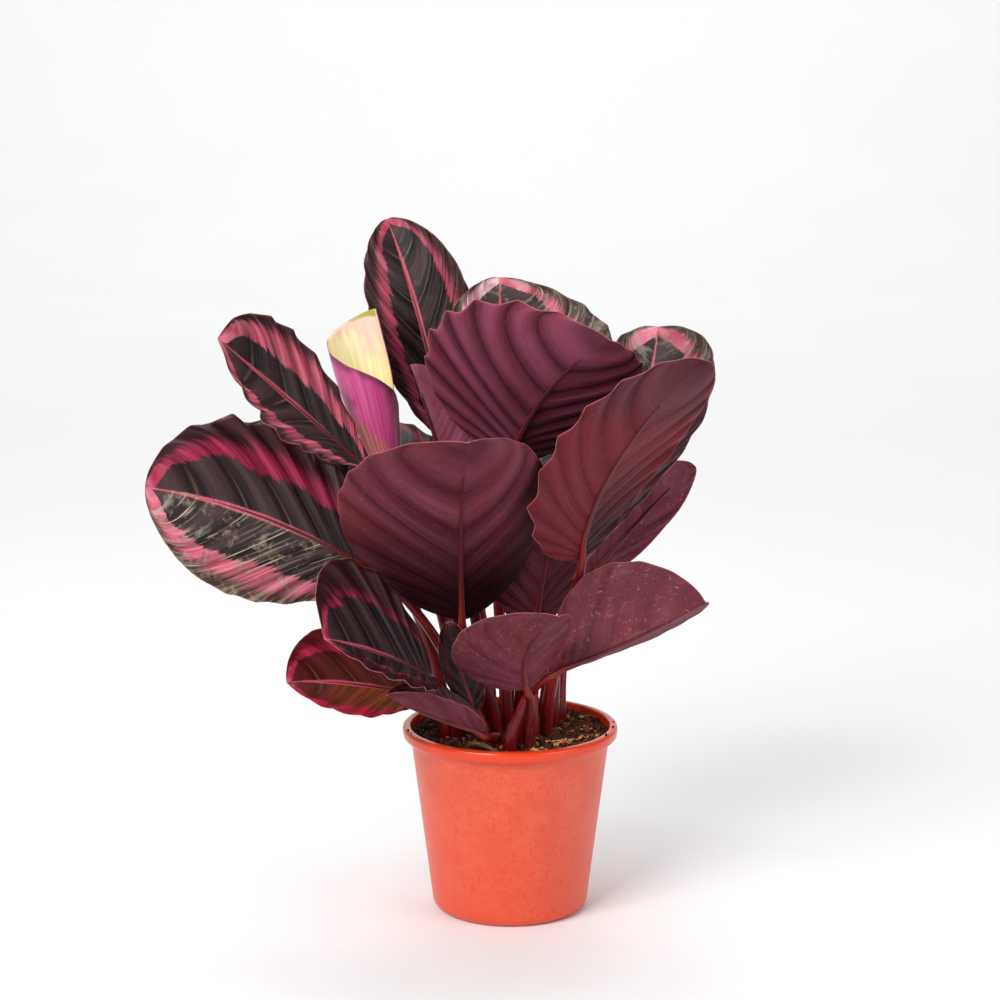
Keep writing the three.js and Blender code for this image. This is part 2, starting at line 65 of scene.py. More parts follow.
# root: where its stalk leaves the soil; base, tip, bow: its midrib's ends and how far it bows; face:
# where its upper side looks; halves, fold, curl: the left and the right half's width, its fold at the
# midrib and its curl; waves, wave: how many waves its edge has and how high they are.
LEAVES = {
    "front_centre": dict(
        root=(-8, -16), base=(-26, -32, 172), tip=(-22, -118, 284), bow=(-2, 13, 7), face=(0, 0.66, 0.75),
        halves=(50, 66), fold=(2, 2), curl=(42, 10), waves=8, wave=0.4),
    "centre_tall": dict(
        root=(-2, -5), base=(-1, -5, 255), tip=(51, -80, 331), bow=(-4, 8, 6), face=(0.18, 0.78, 0.59),
        halves=(50, 70), fold=(10, 0), curl=(20, 10), waves=9, wave=1.2),
    "right_tall": dict(
        root=(20, -12), base=(37, -30, 205), tip=(100, -75, 320), bow=(-12, 10, -2),
        face=(-0.58, 0.52, 0.62), twist=-24, halves=(48, 50), fold=(12, 0), curl=(0, 0), waves=9, wave=1.4,
        belly=0.42, point=0.58),
    "rear_right": dict(
        root=(24, 0), base=(38, 4, 193), tip=(84, 62, 320), bow=(7, -4, 0), face=(-0.1, -0.85, 0.4),
        halves=(28, 43), fold=(5, 18), curl=(10, 20), waves=9, wave=1.0, belly=1.5, point=0.5),
    "rear_centre": dict(
        root=(6, 16), base=(4, 8, 250), tip=(-6, 44, 350), bow=(-2, 0, 2), face=(0, -0.85, 0.45),
        halves=(40, 64), fold=(20, 0), curl=(10, 10), waves=8, wave=1.0),
    "rear_left": dict(
        root=(-11, 18), base=(-36, 52, 258), tip=(-70, 82, 379), bow=(1, -2, 8), face=(0.2, -0.9, 0.3),
        halves=(37, 35), fold=(26, 34), curl=(10, 10), waves=9, wave=1.0, belly=0.7, point=0.74),
    "left_upper": dict(
        root=(-29, -4), base=(-79, -9, 252), tip=(-153, -58, 329), bow=(-3, 8, 1),
        face=(0.61, -0.63, 0.25), halves=(43, 31), fold=(30, 8), curl=(10, 10), waves=8, wave=1.0,
        belly=0.9, point=0.48),
    "left_big": dict(
        root=(-24, -14), base=(-72, -25, 196), tip=(-192, -65, 251), bow=(-1, 0, 8),
        face=(0.47, -0.72, 0.5), halves=(46, 54), fold=(-12, 0), curl=(0, 6), waves=9, wave=1.2,
        belly=0.72, point=0.64),
    "left_hidden": dict(
        root=(-37, 8), base=(-78, 22, 217), tip=(-118, 32, 261), bow=(2, 0, 2), face=(0.3, -0.8, 0.5),
        halves=(28, 24), fold=(20, 20), curl=(10, 10), waves=6, wave=1.0),
    "left_low": dict(
        root=(-29, -22), base=(-42, -50, 145), tip=(-96, -108, 180), bow=(-2, 0, 3),
        face=(0.66, -0.46, 0.6), halves=(34, 54), fold=(30, 0), curl=(4, 6), waves=7, wave=0.5, belly=0.56,
        point=0.46),
    "left_lowest": dict(
        root=(-35, -17), base=(-47, -22, 126), tip=(-120, -55, 143), bow=(-2, 0, 3),
        face=(0.36, -0.69, 0.63), halves=(34, 33), fold=(30, 0), curl=(8, 12), waves=7, wave=0.3,
        belly=0.9),
    "front_left": dict(
        root=(-8, -38), base=(-14, -50, 114), tip=(-66, -68, 139), bow=(-2, 0, -1), face=(0.3, 0, 0.95),
        halves=(19, 17), fold=(45, 55), curl=(10, 10), waves=6, wave=0.4),
    "inner_left": dict(
        root=(-14, -27), base=(-19, -27, 120), tip=(-33, -36, 172), bow=(-2, 0, 1), face=(-0.3, -0.9, 0.3),
        halves=(10, 14), fold=(10, 10), curl=(10, 10), waves=5, wave=0.4),
    "front_small": dict(
        root=(10, -38), base=(9, -45, 136), tip=(25, -92, 188), bow=(-8, 4, 0), face=(-0.3, 0.57, 0.75),
        halves=(28, 40), fold=(15, 18), curl=(4, 4), waves=7, wave=0.3),
    "right_low": dict(
        root=(3, -30), base=(23, -40, 145), tip=(103, -68, 190), bow=(0, 2, -3), face=(0, 0.8, 0.6),
        halves=(34, 43), fold=(38, 50), curl=(0, 0), waves=7, wave=0.5, point=0.6),
    "right_middle": dict(
        root=(28, 14), base=(43, 38, 178), tip=(103, 32, 246), bow=(0, 0, 2), face=(-0.15, 0.9, 0.35),
        halves=(16, 26), fold=(0, 0), curl=(0, 0), waves=7, wave=0.6),
    "inner_right": dict(
        root=(12, -21), base=(14, -12, 162), tip=(27, -30, 230), bow=(-2, 0, 0), face=(-0.2, 0.8, 0.4),
        halves=(20, 28), fold=(10, 10), curl=(0, 0), waves=7, wave=1.0),
    "inner_folded": dict(
        root=(-12, 4), base=(-36, -1, 243), tip=(-54, -9, 308), bow=(2, 2, -2), face=(-0.1, 0.9, 0.3),
        halves=(22, 12), fold=(0, 95), curl=(0, 0), waves=5, wave=0.3),
    "back_right": dict(
        root=(20, 28), base=(30, 46, 156), tip=(66, 108, 222), bow=(0, -3, 5), face=(-0.3, -0.5, 0.8),
        halves=(36, 36), fold=(10, 10), curl=(6, 6), waves=7, wave=1.2),
    "back_centre": dict(
        root=(2, 31), base=(10, 44, 172), tip=(20, 120, 252), bow=(0, -4, 6), face=(0, -0.7, 0.7),
        halves=(38, 40), fold=(14, 14), curl=(6, 6), waves=7, wave=1.2),
    "back_left": dict(
        root=(-18, 26), base=(-39, 40, 180), tip=(-74, 110, 258), bow=(0, -4, 5), face=(0.3, -0.6, 0.7),
        halves=(34, 32), fold=(14, 14), curl=(6, 6), waves=7, wave=1.2),
}

CORNET = dict(
    root=(-22, 8), base=(-65, 14, 236), tip=(-88, 14, 332), bow=(0, 0, 0), face=(0, -1, 0.2),
    neck=2.8, flare=12.4, flare_end=0.8, layer=1.7, turns=1.07, start=-10, cutaway=0.64, cut_bend=1.9,
    stalk_end=0.03)
SHOOT = dict(root=(0, -45), tip=(8, -50, 132), radius=3.4)
SHEATH = (-24, -38, 101.8), (-17, -44, 108), (-8.4, -54.2, 104.4)  # its curve, from the soil to the rim

# How each leaf looks. A pair is for the left and the right half.
# ring: where the pink ring begins and ends in each half, as shares of the half width
# glow: how bright the ring is; streaky: how far it breaks up into cream and dark streaks
# scar: how scraped the upper side is, its pale marks also a painted highlight; marks_from: how far from the
# base that begins
# warm: how much light is painted as shining through; reach: how far from the base that painted glow goes
# under: how pink the underside is, and over 1 how much paler it is painted, as painted light; smear: how
# many whitish scratches it has
# shade: painted shade over the whole leaf; base_shade: painted shade on each half, darkest at its base
# pleat: how deep its folds are; red: how red its stalk is
PLAIN = dict(ring=((0.58, 0.82), (0.58, 0.82)), glow=(0.6, 0.6), scar=(0, 0), warm=(0, 0), reach=1,
             streaky=0, under=0.5, shade=0, base_shade=(0, 0), pleat=1, red=0.5, smear=0.3, marks_from=0)
LOOKS = {
    "left_big": dict(ring=((0.58, 0.84), (0.52, 0.74)), glow=(1.05, 0.45), scar=(1, 0), pleat=1.3),
    "left_upper": dict(ring=((0.58, 0.82), (0.48, 0.82)), glow=(1.0, 0.9), scar=(0.15, 0.05)),
    "rear_left": dict(ring=((0.50, 0.70), (0.58, 0.72)), glow=(0.72, 0.68), scar=(0.08, 0.16)),
    "rear_centre": dict(ring=((0.48, 0.80), (0.54, 0.74)), glow=(1.3, 0.9), scar=(0.6, 0.75), streaky=0.1),
    "rear_right": dict(ring=((0.56, 0.74), (0.54, 0.70)), glow=(1.0, 0.7), scar=(1, 0.5), streaky=0.1,
                       marks_from=0.95),
    "left_low": dict(ring=((0.53, 0.60), (0.54, 0.60)), glow=(0.5, 0.42), red=0.3, pleat=0.8),
    "left_lowest": dict(ring=((0.78, 0.88), (0.52, 0.68)), glow=(0.5, 0.5), warm=(1, 0.7), red=0.8,
                        pleat=0.6),
    "left_hidden": dict(ring=((0.50, 0.75), (0.50, 0.75)), glow=(0.3, 0.3), shade=0.45),
    "inner_left": dict(ring=((0.55, 0.70), (0.55, 0.70)), glow=(0.1, 0.1), shade=0.6, pleat=0.6),
    "front_left": dict(ring=((0.70, 0.80), (0.70, 0.80)), glow=(0.2, 0.2), under=0.6, shade=0.32,
                       pleat=0.15),
    "right_tall": dict(warm=(0.6, 0.6), reach=0.8, base_shade=(0.7, 0), shade=0.2, red=0.7, under=0.2,
                       pleat=0.5),
    "front_centre": dict(red=0.5, under=0.35, pleat=0.5, base_shade=(1.15, 1.1)),
    "centre_tall": dict(red=0.9, under=1.15, pleat=1.1, base_shade=(0.9, 0.3)),
    "right_low": dict(red=0.8, under=0.2, pleat=0.2, smear=1),
    "front_small": dict(red=0.3, under=0.35, shade=0.06, pleat=0.2, smear=0.9),
    "right_middle": dict(red=0.6, under=0.6, pleat=0.25, smear=1, shade=0.03, base_shade=(0.3, 0.3)),
    "inner_right": dict(red=1, under=0.3, shade=0.3, pleat=0.4),
    "inner_folded": dict(red=0.3, under=1.5, pleat=0.2),
    "back_right": dict(glow=(0.3, 0.3), shade=0.3),
    "back_centre": dict(glow=(0.3, 0.3), shade=0.3, red=0.9),
    "back_left": dict(glow=(0.3, 0.3), shade=0.3),
}


# ---------- small helpers ----------

def unit(v):
    return v / np.linalg.norm(v, axis=-1, keepdims=True)


def lerp(a, b, share):
    return a + (b - a) * share


def smooth(value, low, high):
    share = np.clip((value - low) / (high - low), 0, 1)
    return share * share * (3 - 2 * share)


def rgb(r, g, b):
    """A colour in parts of 255, as the linear colour that shaders take."""
    shares = [part / 255 for part in (r, g, b)]
    return (*(c / 12.92 if c <= 0.04045 else ((c + 0.055) / 1.055) ** 2.4 for c in shares), 1)


def waver(x, rng, waves=4):
    """A smooth wandering value in about -1 to 1 over x from 0 to 1."""
    total = np.zeros_like(x)
    for n in range(1, waves + 1):
        total = total + rng.uniform(-1, 1) * np.sin(TURN * (n * 0.8 * x + rng.uniform()))
    return total / math.sqrt(waves)


def curve(start, middle, end, share):
    """A point on the curve that leaves start towards middle and comes from there to end."""
    return (1 - share) ** 2 * start + 2 * share * (1 - share) * middle + share ** 2 * end


def add_object(name, data, place=(0, 0, 0), turn=(0, 0, 0)):
    item = bpy.data.objects.new(name, data)
    item.location, item.rotation_euler = place, turn
    bpy.context.scene.collection.objects.link(item)
    return item


def make_mesh(name, points, faces, materials, indices=None, **attributes):
    mesh = bpy.data.meshes.new(name)
    face_list = faces if isinstance(faces, list) else faces.tolist()
    mesh.from_pydata((np.asarray(points, float) * MM).tolist(), [], face_list)
    mesh.polygons.foreach_set("use_smooth", np.ones(len(faces), bool))
    for material in materials:
        mesh.materials.append(material)
    if indices is not None:
        mesh.polygons.foreach_set("material_index", np.asarray(indices, np.int32))
    for key, values in attributes.items():
        layer = mesh.attributes.new(key, "FLOAT_VECTOR", "POINT")
        layer.data.foreach_set("vector", np.asarray(values, np.float32).ravel())
    mesh.update()
    return add_object(name, mesh)


def settle(piece, slot, *nodes):
    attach(piece, "root")
    if nodes:
        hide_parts(*nodes)


def grid_faces(rows, columns, first=0, flip=False):
    i, j = np.meshgrid(np.arange(rows), np.arange(columns), indexing="ij")
    a = first + i * (columns + 1) + j
    quads = np.stack([a, a + 1, a + columns + 2, a + columns + 1], -1).reshape(-1, 4)
    return quads[:, ::-1] if flip else quads


def sheet_piece(name, middle, thick, materials, **attributes):
    """A closed sheet about a grid of points: materials are for its upper side, lower side and edge."""
    rows, columns = middle.shape[0] - 1, middle.shape[1] - 1
    along, across = np.gradient(middle, axis=0), np.gradient(middle, axis=1)
    normal = unit(np.cross(across, along))
    half = normal * thick / 2
    points = np.concatenate([(middle + half).reshape(-1, 3), (middle - half).reshape(-1, 3)])
    size = (rows + 1) * (columns + 1)
    rim = np.concatenate([
        np.arange(columns), np.arange(rows) * (columns + 1) + columns,
        rows * (columns + 1) + np.arange(columns, 0, -1), np.arange(rows, 0, -1) * (columns + 1)])
    after = np.roll(rim, -1)
    edge = np.stack([rim, rim + size, after + size, after], -1)
    top = grid_faces(rows, columns)
    faces = np.concatenate([top, grid_faces(rows, columns, size, flip=True), edge])
    indices = np.repeat([0, 1, 2], [len(top), len(top), len(edge)])
    doubled = {key: np.concatenate([value.reshape(-1, 3)] * 2) for key, value in attributes.items()}
    return make_mesh(name, points, faces, materials, indices, **doubled)


def tube_points(centres, radii, sides, squash=0.0):
    """Rings of points about a line of centres, carried along it without twisting."""
    ahead = unit(np.gradient(centres, axis=0))
    side = np.array([1.0, 0, 0])
    rings = []
    turn = np.linspace(0, TURN, sides, endpoint=False)
    for at, forward, radius in zip(centres, ahead, radii):
        side = unit(side - side @ forward * forward)
        up = np.cross(forward, side)
        swell = radius * (1 + squash * np.cos(2 * turn))
        rings.append(at + swell[:, None] * (np.cos(turn)[:, None] * side + np.sin(turn)[:, None] * up))
    return np.array(rings)


def tube_faces(steps, sides):
    """Quads round a tube of steps rings."""
    i, j = np.meshgrid(np.arange(steps - 1), np.arange(sides), indexing="ij")
    a = i * sides + j
    b = i * sides + (j + 1) % sides
    return np.stack([a, b, b + sides, a + sides], -1).reshape(-1, 4)


# ---------- materials ----------

class Value:
    """What a material has at each point: a number, a place or a colour. It can stand in plain sums."""

    def __init__(self, tree, socket):
        self.tree, self.socket = tree, socket

    __add__ = lambda self, other: worked("ADD", self, other)
    __radd__ = lambda self, other: worked("ADD", other, self)
    __sub__ = lambda self, other: worked("SUBTRACT", self, other)
    __rsub__ = lambda self, other: worked("SUBTRACT", other, self)
    __mul__ = lambda self, other: worked("MULTIPLY", self, other)
    __pow__ = lambda self, other: worked("POWER", self, other)
    __abs__ = lambda self: worked("ABSOLUTE", self)


def connect(tree, socket, value):
    if isinstance(value, Value):
        tree.links.new(value.socket, socket)
    else:
        socket.default_value = value


def node(kind, inputs, tree=None, **settings):
    """All outputs of a new node; its inputs can be values, numbers and colours."""
    tree = tree or next(value.tree for value in inputs.values() if isinstance(value, Value))
    made = tree.nodes.new("ShaderNode" + kind)
    for key, setting in settings.items():
        setattr(made, key, setting)
    for key, value in inputs.items():
        connect(tree, made.inputs[key], value)
    return [Value(tree, socket) for socket in made.outputs]


def worked(operation, *values):
    return node("Math", dict(enumerate(values)), operation=operation)[0]


cosine = partial(worked, "COSINE")
fraction = partial(worked, "FRACT")
whole = partial(worked, "FLOOR")
sign = partial(worked, "SIGN")
larger = partial(worked, "MAXIMUM")
smaller = partial(worked, "MINIMUM")


def step(value, low, high):
    """A smooth rise from 0 at low to 1 at high, or a fall where high is the lower of the two."""
    inputs = {"Value": value, "From Min": low, "From Max": high}
    return node("MapRange", inputs, interpolation_type="SMOOTHSTEP")[0]


def mix(share, a, b):
    """Colour a where share is 0 and colour b where it is 1."""
    first, second, result = 6, 7, 2  # where the node has its colours
    return node("Mix", {0: share, first: a, second: b}, data_type="RGBA")[result]


def join(x, y, z):
    return node("CombineXYZ", {"X": x, "Y": y, "Z": z})[0]


def parts(vector):
    return node("SeparateXYZ", {"Vector": vector})


def noise_at(place, scale=1.0, detail=2.0, roughness=0.5):
    inputs = {"Vector": place, "Scale": scale, "Detail": detail, "Roughness": roughness}
    return node("TexNoise", inputs)[0]


def noise_over(x, y, z, detail=2.0):
    return noise_at(join(x, y, z), 1.0, detail)


def cells(place, scale):
    """How far the middle of the nearest cell is, and that cell's own colour."""
    return node("TexVoronoi", {"Vector": place, "Scale": scale})[:2]


class Look:
    """A material and what it can read from the mesh."""

    def __init__(self, name, specular, **sockets):
        self.data = bpy.data.materials.new(name)
        self.data.use_nodes = True
        self.tree = self.data.node_tree
        self.set(Specular_IOR_Level=specular, **sockets)

    def set(self, **sockets):
        surface = self.tree.nodes["Principled BSDF"]
        for key, value in sockets.items():
            connect(self.tree, surface.inputs[key.replace("_", " ")], value)

    def read(self, attribute):
        """The three numbers that the mesh keeps under one name."""
        _, vector, *_ = node("Attribute", {}, self.tree, attribute_name=attribute)
        return parts(vector)

    def where(self):
        """The point's place on the object, in metres."""
        _, _, _, place, *_ = node("TexCoord", {}, self.tree)
        return place

    def bump(self, height, strength, distance):
        inputs = {"Strength": strength, "Distance": distance * MM, "Height": height}
        self.set(Normal=node("Bump", inputs)[0])

    def done(self, colour, height, strength, distance, **sockets):
        """The material with its colour and with a relief of that height."""
        self.set(Base_Color=colour, **sockets)
        self.bump(height, strength, distance)
        return self.data


# What a leaf's mesh keeps, three numbers under each name. phase counts the side veins from the base,
# side runs over both halves from -1 to 1, and u from the base to the tip.
LEAF_FIELDS = {
    "place": ("phase", "side", "u"),
    "span": ("across", "along", "edge"),
    "ring": ("inner", "outer", "glow"),
    "trait": ("scar", "warm", "seed"),
    "tint": ("streaky", "under", "shade"),
    "finish": ("smear", "pleated", "spare")}


def leaf_fields(look):
    """What both leaf materials read from the mesh, by name."""
    fields = SimpleNamespace()
    for attribute, names in LEAF_FIELDS.items():
        vars(fields).update(zip(names, look.read(attribute)))
    fields.out = abs(fields.side)
    fields.half = sign(fields.side) * 3.7
    fields.grain = noise_over(fields.phase * 40.0, fields.across * 0.8, fields.seed)
    return fields


def streaks(f, across, along, offset=0.0, detail=3.0):
    """Noise drawn out along the side veins: across and along are how often it changes."""
    return noise_over(f.phase * across + f.seed * 7.3, f.out * along, f.half + f.seed + offset, detail)


def ring_bounds(f, fine, teeth):
    """Whether a point lies past the ring's inner bound, and whether it lies past the outer one too."""
    out, u = f.out, f.u
    # The dark centre closes at the tip, and the ring leaves for the edge near the base.
    closing = step(u, 0.84, 1.0) ** 2.0 * 0.62
    opening = step(u, 0.3, 0.0) * 0.16
    # From one side vein to the next the ring steps in or out, and its ends are frayed.
    panel = whole(f.phase)
    stepped = noise_over(panel * 0.83, f.half, f.seed, 0.0) - 0.5
    noisy = stepped * 0.3 + fine * 0.16 + teeth * 0.16
    inward = out + closing + noisy - opening
    begun = step(inward - f.inner, -0.015, 0.015)
    ragged = stepped * 0.22 + fine * -0.22 + teeth * 0.34
    outward = out + ragged - opening
    ended = step(outward - f.outer, -0.08, 0.08)
    return begun, ended


def ring_colour(f, fine):
    """Crimson where it glows little, pink where it glows more, and lilac where it glows most."""
    glow, u = f.glow, f.u
    deep = mix(step(streaks(f, 20.0, 1.5, 3.0), 0.38, 0.66), rgb(128, 18, 50), rgb(168, 42, 80))
    pale = mix(step(fine, -0.16, 0.16), rgb(186, 62, 90), rgb(214, 116, 136))
    lilac = mix(step(fine, -0.16, 0.16), rgb(206, 122, 146), rgb(232, 176, 188))
    pink = mix(step(glow, 0.35, 1.0), deep, pale)
    pink = mix(step(glow, 1.0, 1.3), pink, lilac)
    pink = mix(step(glow, 0.45, 0.15), pink, rgb(110, 18, 40))
    # Painted backlight: where light shines through, the ring turns a deeper red.
    pink = mix(f.warm * 0.6, pink, rgb(186, 16, 58))
    # Towards the tip, and all over some leaves, it breaks up into cream and dark bars.
    bars = streaks(f, 9.0, 1.6, 51.0)
    broken = f.streaky + step(u, 0.8, 1.0) * (glow * 0.2)
    pink = mix(step(bars, 0.5, 0.62) * broken, pink, rgb(236, 208, 200))
    return mix(step(bars, 0.47, 0.4) * broken, pink, rgb(48, 40, 40))


def worn_and_sheen(f, colour, teeth):
    """Where a leaf is scraped: cream lines along its side veins, and pale and brown patches and whitish
    streaks between. The whitish patches and streaks are also a painted highlight.
    """
    scar = f.scar
    at = join(f.across * 0.1, f.along * 0.1, f.seed)
    patch = step(noise_at(at, 1.0, 8.0, 0.72), 0.5, 0.62)
    kind = step(noise_at(at, 2.7, 3.0), 0.42, 0.58)
    patch_colour = mix(kind, rgb(98, 72, 54), rgb(160, 148, 134))
    colour = mix(patch * scar * 0.55, colour, patch_colour)
    hairs = step(streaks(f, 12.0, 1.6, 21.0, 6.0) + teeth * 0.2, 0.54, 0.66)
    colour = mix(hairs * scar * 0.5, colour, rgb(176, 166, 152))
    off = abs(fraction(f.phase) - 0.5)
    # The lines keep about one width, though the veins spread at the tip.
    breadth = 0.012 + step(f.u, 0.9, 0.4) * 0.024
    line = step(off + teeth * 0.12, breadth, breadth * 0.3)
    gaps = step(streaks(f, 3.0, 5.0, 71.0, 5.0), 0.42, 0.56)
    return mix(line * gaps * (scar * 0.8), colour, rgb(200, 180, 154))


def upper_material():
    look = Look("leaf_upper", specular=0.26)
    f = leaf_fields(look)
    out, u = f.out, f.u
    fine = streaks(f, 7.0, 1.6) - 0.5
    teeth = streaks(f, 24.0, 2.5, 11.0) - 0.5
    begun, ended = ring_bounds(f, fine, teeth)

    # The dark centre has broad pleats and fine ribs. The pleat term is painted shade, lighter on the ridges
    # and darker in the folds; where light shines through, a painted backlight turns it rust-red and orange.
    ribs = streaks(f, 14.0, 1.2, 2.0)
    pleat = cosine(f.phase * TURN)
    broad = streaks(f, 1.7, 0.8, 61.0) - 0.5
    tone = (ribs - 0.5) * 0.6 + pleat * 0.24 + broad * 1.3
    centre = mix(step(tone, -0.4, 0.4), rgb(22, 13, 17), rgb(66, 49, 51))
    lit = step(u, 0.85, 0.3) * step(f.warm, 0.6, 1.0)
    backlit_centre = mix(lit * step(fine, -0.25, 0.12), rgb(104, 26, 20), rgb(164, 78, 14))
    centre = mix(f.warm * 0.85, centre, backlit_centre)

    margin = mix(step(fine, -0.2, 0.2), rgb(42, 14, 20), rgb(66, 30, 34))
    # On scraped halves the margin turns olive with pale streaks, which are also a painted highlight.
    margin = mix(f.scar * 0.8, margin, rgb(74, 58, 46))
    olive = step(streaks(f, 8.0, 1.2, 8.0), 0.5, 0.66)
    margin = mix(olive * (f.scar * 0.5), margin, rgb(168, 152, 132))
    # Painted backlight: where light shines through, the margin glows red.
    glowing = mix(step(f.warm, 0.6, 1.0), rgb(104, 30, 32), rgb(196, 2, 46))
    margin = mix(f.warm * 0.9, margin, glowing)
    colour = mix(begun, centre, margin)
    ring = begun * (1.0 - ended)
    colour = mix(ring, colour, ring_colour(f, fine))
    # Painted shade: the valleys between the pleats are darkened.
    valley_shade = step(pleat, 0.3, -1.0)
    colour = mix(valley_shade * 0.42, colour, rgb(20, 5, 10))

    # The midrib lies in a pink band, widest half way along, with a brown line near the base.
    belly = step(u, -0.15, 0.5) * step(u, 1.0, 0.55)
    line = 0.35 + belly * 1.5 + teeth * 1.2
    rib = step(abs(f.across) - line, 0.35, -0.35)
    rib_colour = mix(step(u, 0.1, 0.5), rgb(150, 96, 54), rgb(196, 84, 104))
    colour = mix(rib * 0.9 * step(f.glow, 0.0, 0.4), colour, rib_colour)
    # Each side vein shows as a thin paler line, clearest near the midrib.
    fold = abs(fraction(f.phase) - 0.5)
    vein = step(fold, 0.06, 0.0) * step(out, 0.6, 0.05)
    colour = mix(vein * 0.4, colour, rgb(120, 98, 88))

    colour = worn_and_sheen(f, colour, teeth)
    rim = step(f.edge, 0.5, 0.2)
    colour = mix(rim * 0.6, colour, rgb(140, 74, 76))
    # Painted shade: the whole leaf, and each half towards its base, is darkened.
    colour = mix(f.shade, colour, rgb(14, 8, 9))
    rough = 0.34 + step(ribs, 0.3, 0.7) * 0.1 + f.scar * 0.08
    return look.done(colour, ribs * 0.7 + f.grain * 0.2 + vein * -0.6, 0.5, 0.5, Roughness=rough)


def lower_material():
    look = Look("leaf_lower", specular=0.12)
    f = leaf_fields(look)
    fold = cosine(f.phase * TURN)
    wide = streaks(f, 2.0, 1.2, 31.0)
    fine = streaks(f, 16.0, 1.4, 37.0)
    # The fine lines fade where the veins crowd together at the tip.
    deep = f.pleated
    even = (fine - 0.5) * step(f.u, 1.0, 0.55)
    even = even * (0.3 + deep * 0.7)
    # The fold term is painted shade: darker at the grooves, lighter on the pleats between them.
    share = fold * deep * -0.34 + (wide - 0.5) * 0.8 + even
    dull = mix(step(share, -0.5, 0.5), rgb(68, 26, 33), rgb(108, 54, 62))
    lively = mix(step(share, -0.5, 0.5), rgb(90, 30, 50), rgb(146, 68, 94))
    colour = mix(f.under, dull, lively)
    # Over 1, the underside is painted paler: painted light on leaves that catch more light.
    colour = mix(f.under - 1.0, colour, rgb(158, 94, 118))
    bright = step(even - fold * 0.1, 0.1, 0.24)
    colour = mix(bright * 0.3, colour, rgb(146, 78, 104))
    blush = step(streaks(f, 0.9, 1.5, 41.0, 1.0), 0.5, 0.66)
    colour = mix(blush * 0.35, colour, rgb(116, 42, 40))
    # Under a thin skin there is a weave of crimson dots.
    dots = noise_over(f.phase * 36.0, f.out * 44.0, f.seed)
    colour = mix(step(dots, 0.54, 0.66) * 0.3, colour, rgb(132, 26, 44))
    # Painted backlight: where light shines through, the underside turns red.
    colour = mix(f.warm * 0.7, colour, rgb(140, 20, 40))
    # A narrow groove runs between two pleats; its dark colour is painted shade, and the bump also sinks it.
    off = abs(fraction(f.phase + 0.5) - 0.5)
    groove = (step(off, 0.22, 0.0) + step(off, 0.06, 0.0)) * (deep * 0.28)
    colour = mix(groove, colour, rgb(44, 6, 14))
    # Whitish scratches: thin curly lines in patches.
    scratch_at = join(f.across * 0.16, f.along * 0.1, f.seed)
    curl = abs(noise_at(scratch_at, 1.0, 3.0, 0.6) - 0.5)
    patches = step(noise_at(scratch_at, 2.3, 3.0, 0.7), 0.48, 0.62)
    scratch = step(curl, 0.012, 0.003) * patches
    haze = step(noise_at(scratch_at, 0.6, 8.0, 0.75), 0.5, 0.72) * 0.3
    scratch = larger(scratch, haze)
    colour = mix(scratch * 0.6 * f.smear, colour, rgb(164, 130, 128))
    rim = step(f.edge, 0.6, 0.3)
    colour = mix(rim * 0.7, colour, rgb(164, 84, 94))
    # Painted shade: the whole leaf, and each half towards its base, is darkened.
    colour = mix(f.shade, colour, rgb(32, 3, 9))
    relief = even * 0.9 + f.grain * 0.3 + groove * -1.2
    return look.done(colour, relief, 0.5, 0.5, Roughness=0.48 + wide * 0.16)


def edge_material():
    look = Look("leaf_edge", specular=0.4, Roughness=0.45)
    phase, side, _ = look.read("place")
    tone = noise_over(phase * 3.0, side, 0.0, 3.0)
    return look.done(mix(step(tone, 0.35, 0.65), rgb(150, 66, 78), rgb(196, 116, 122)), tone, 0.2, 0.2)


def stalk_material():
    """Stalks are glossy and red, darker or browner on some leaves, and orange where the blade begins."""
    look = Look("stalk", specular=0.28)
    share, turn, _ = look.read("rod")
    red, _, seed = look.read("trait")
    lines = noise_over(share * 5.0, turn * 6.0, seed, 3.0)
    mottle = noise_over(share * 30.0, turn * 2.0, seed, 4.0)
    dark = mix(step(lines, 0.35, 0.65), rgb(44, 4, 9), rgb(76, 11, 18))
    bright = mix(step(lines, 0.35, 0.65), rgb(106, 4, 14), rgb(148, 12, 24))
    colour = mix(red, dark, bright)
    colour = mix(step(mottle, 0.55, 0.75) * 0.3, colour, rgb(120, 60, 40))
    base = step(share, 0.9, 1.0) * step(share, 1.35, 1.0)
    colour = mix(base * 0.4, colour, rgb(132, 46, 30))
    colour = mix(step(share, 1.02, 1.3) * 0.85, colour, rgb(88, 34, 42))
    return look.done(colour, lines + mottle * 0.4, 0.35, 0.3, Roughness=0.22 + lines * 0.16)


# ---------- blades and stalks ----------

ROWS_PER_WAVE, COLUMNS = 16, 22
STEM_RINGS, RIB_RINGS = 30, 20


def frames_at(leaf, u):
    """The midrib's points and, at each, the directions along it, up from the blade and to the right."""
    base, tip, rise = (np.array(leaf[key], float) for key in ("base", "tip", "bow"))
    middle = (base + tip) / 2 + 2 * rise
    share = np.asarray(u, float)[..., None]
    at = curve(base, middle, tip, share)
    along = unit((1 - share) * (middle - base) + share * (tip - middle))
    face = unit(np.array(leaf["face"], float))
    up = unit(face - (along @ face)[..., None] * along)
    right = np.cross(along, up)
    twist = math.radians(leaf.get("twist", 0)) * share
    cos, sin = np.cos(twist), np.sin(twist)
    return at, along, up * cos + right * sin, right * cos - up * sin


def outline_at(leaf, u):
    """The half width as a share of the widest."""
    belly, point = leaf.get("belly", BELLY), leaf.get("point", POINT)
    widest = belly / (belly + point)
    return u ** belly * (1 - u) ** point / (widest ** belly * (1 - widest) ** point)


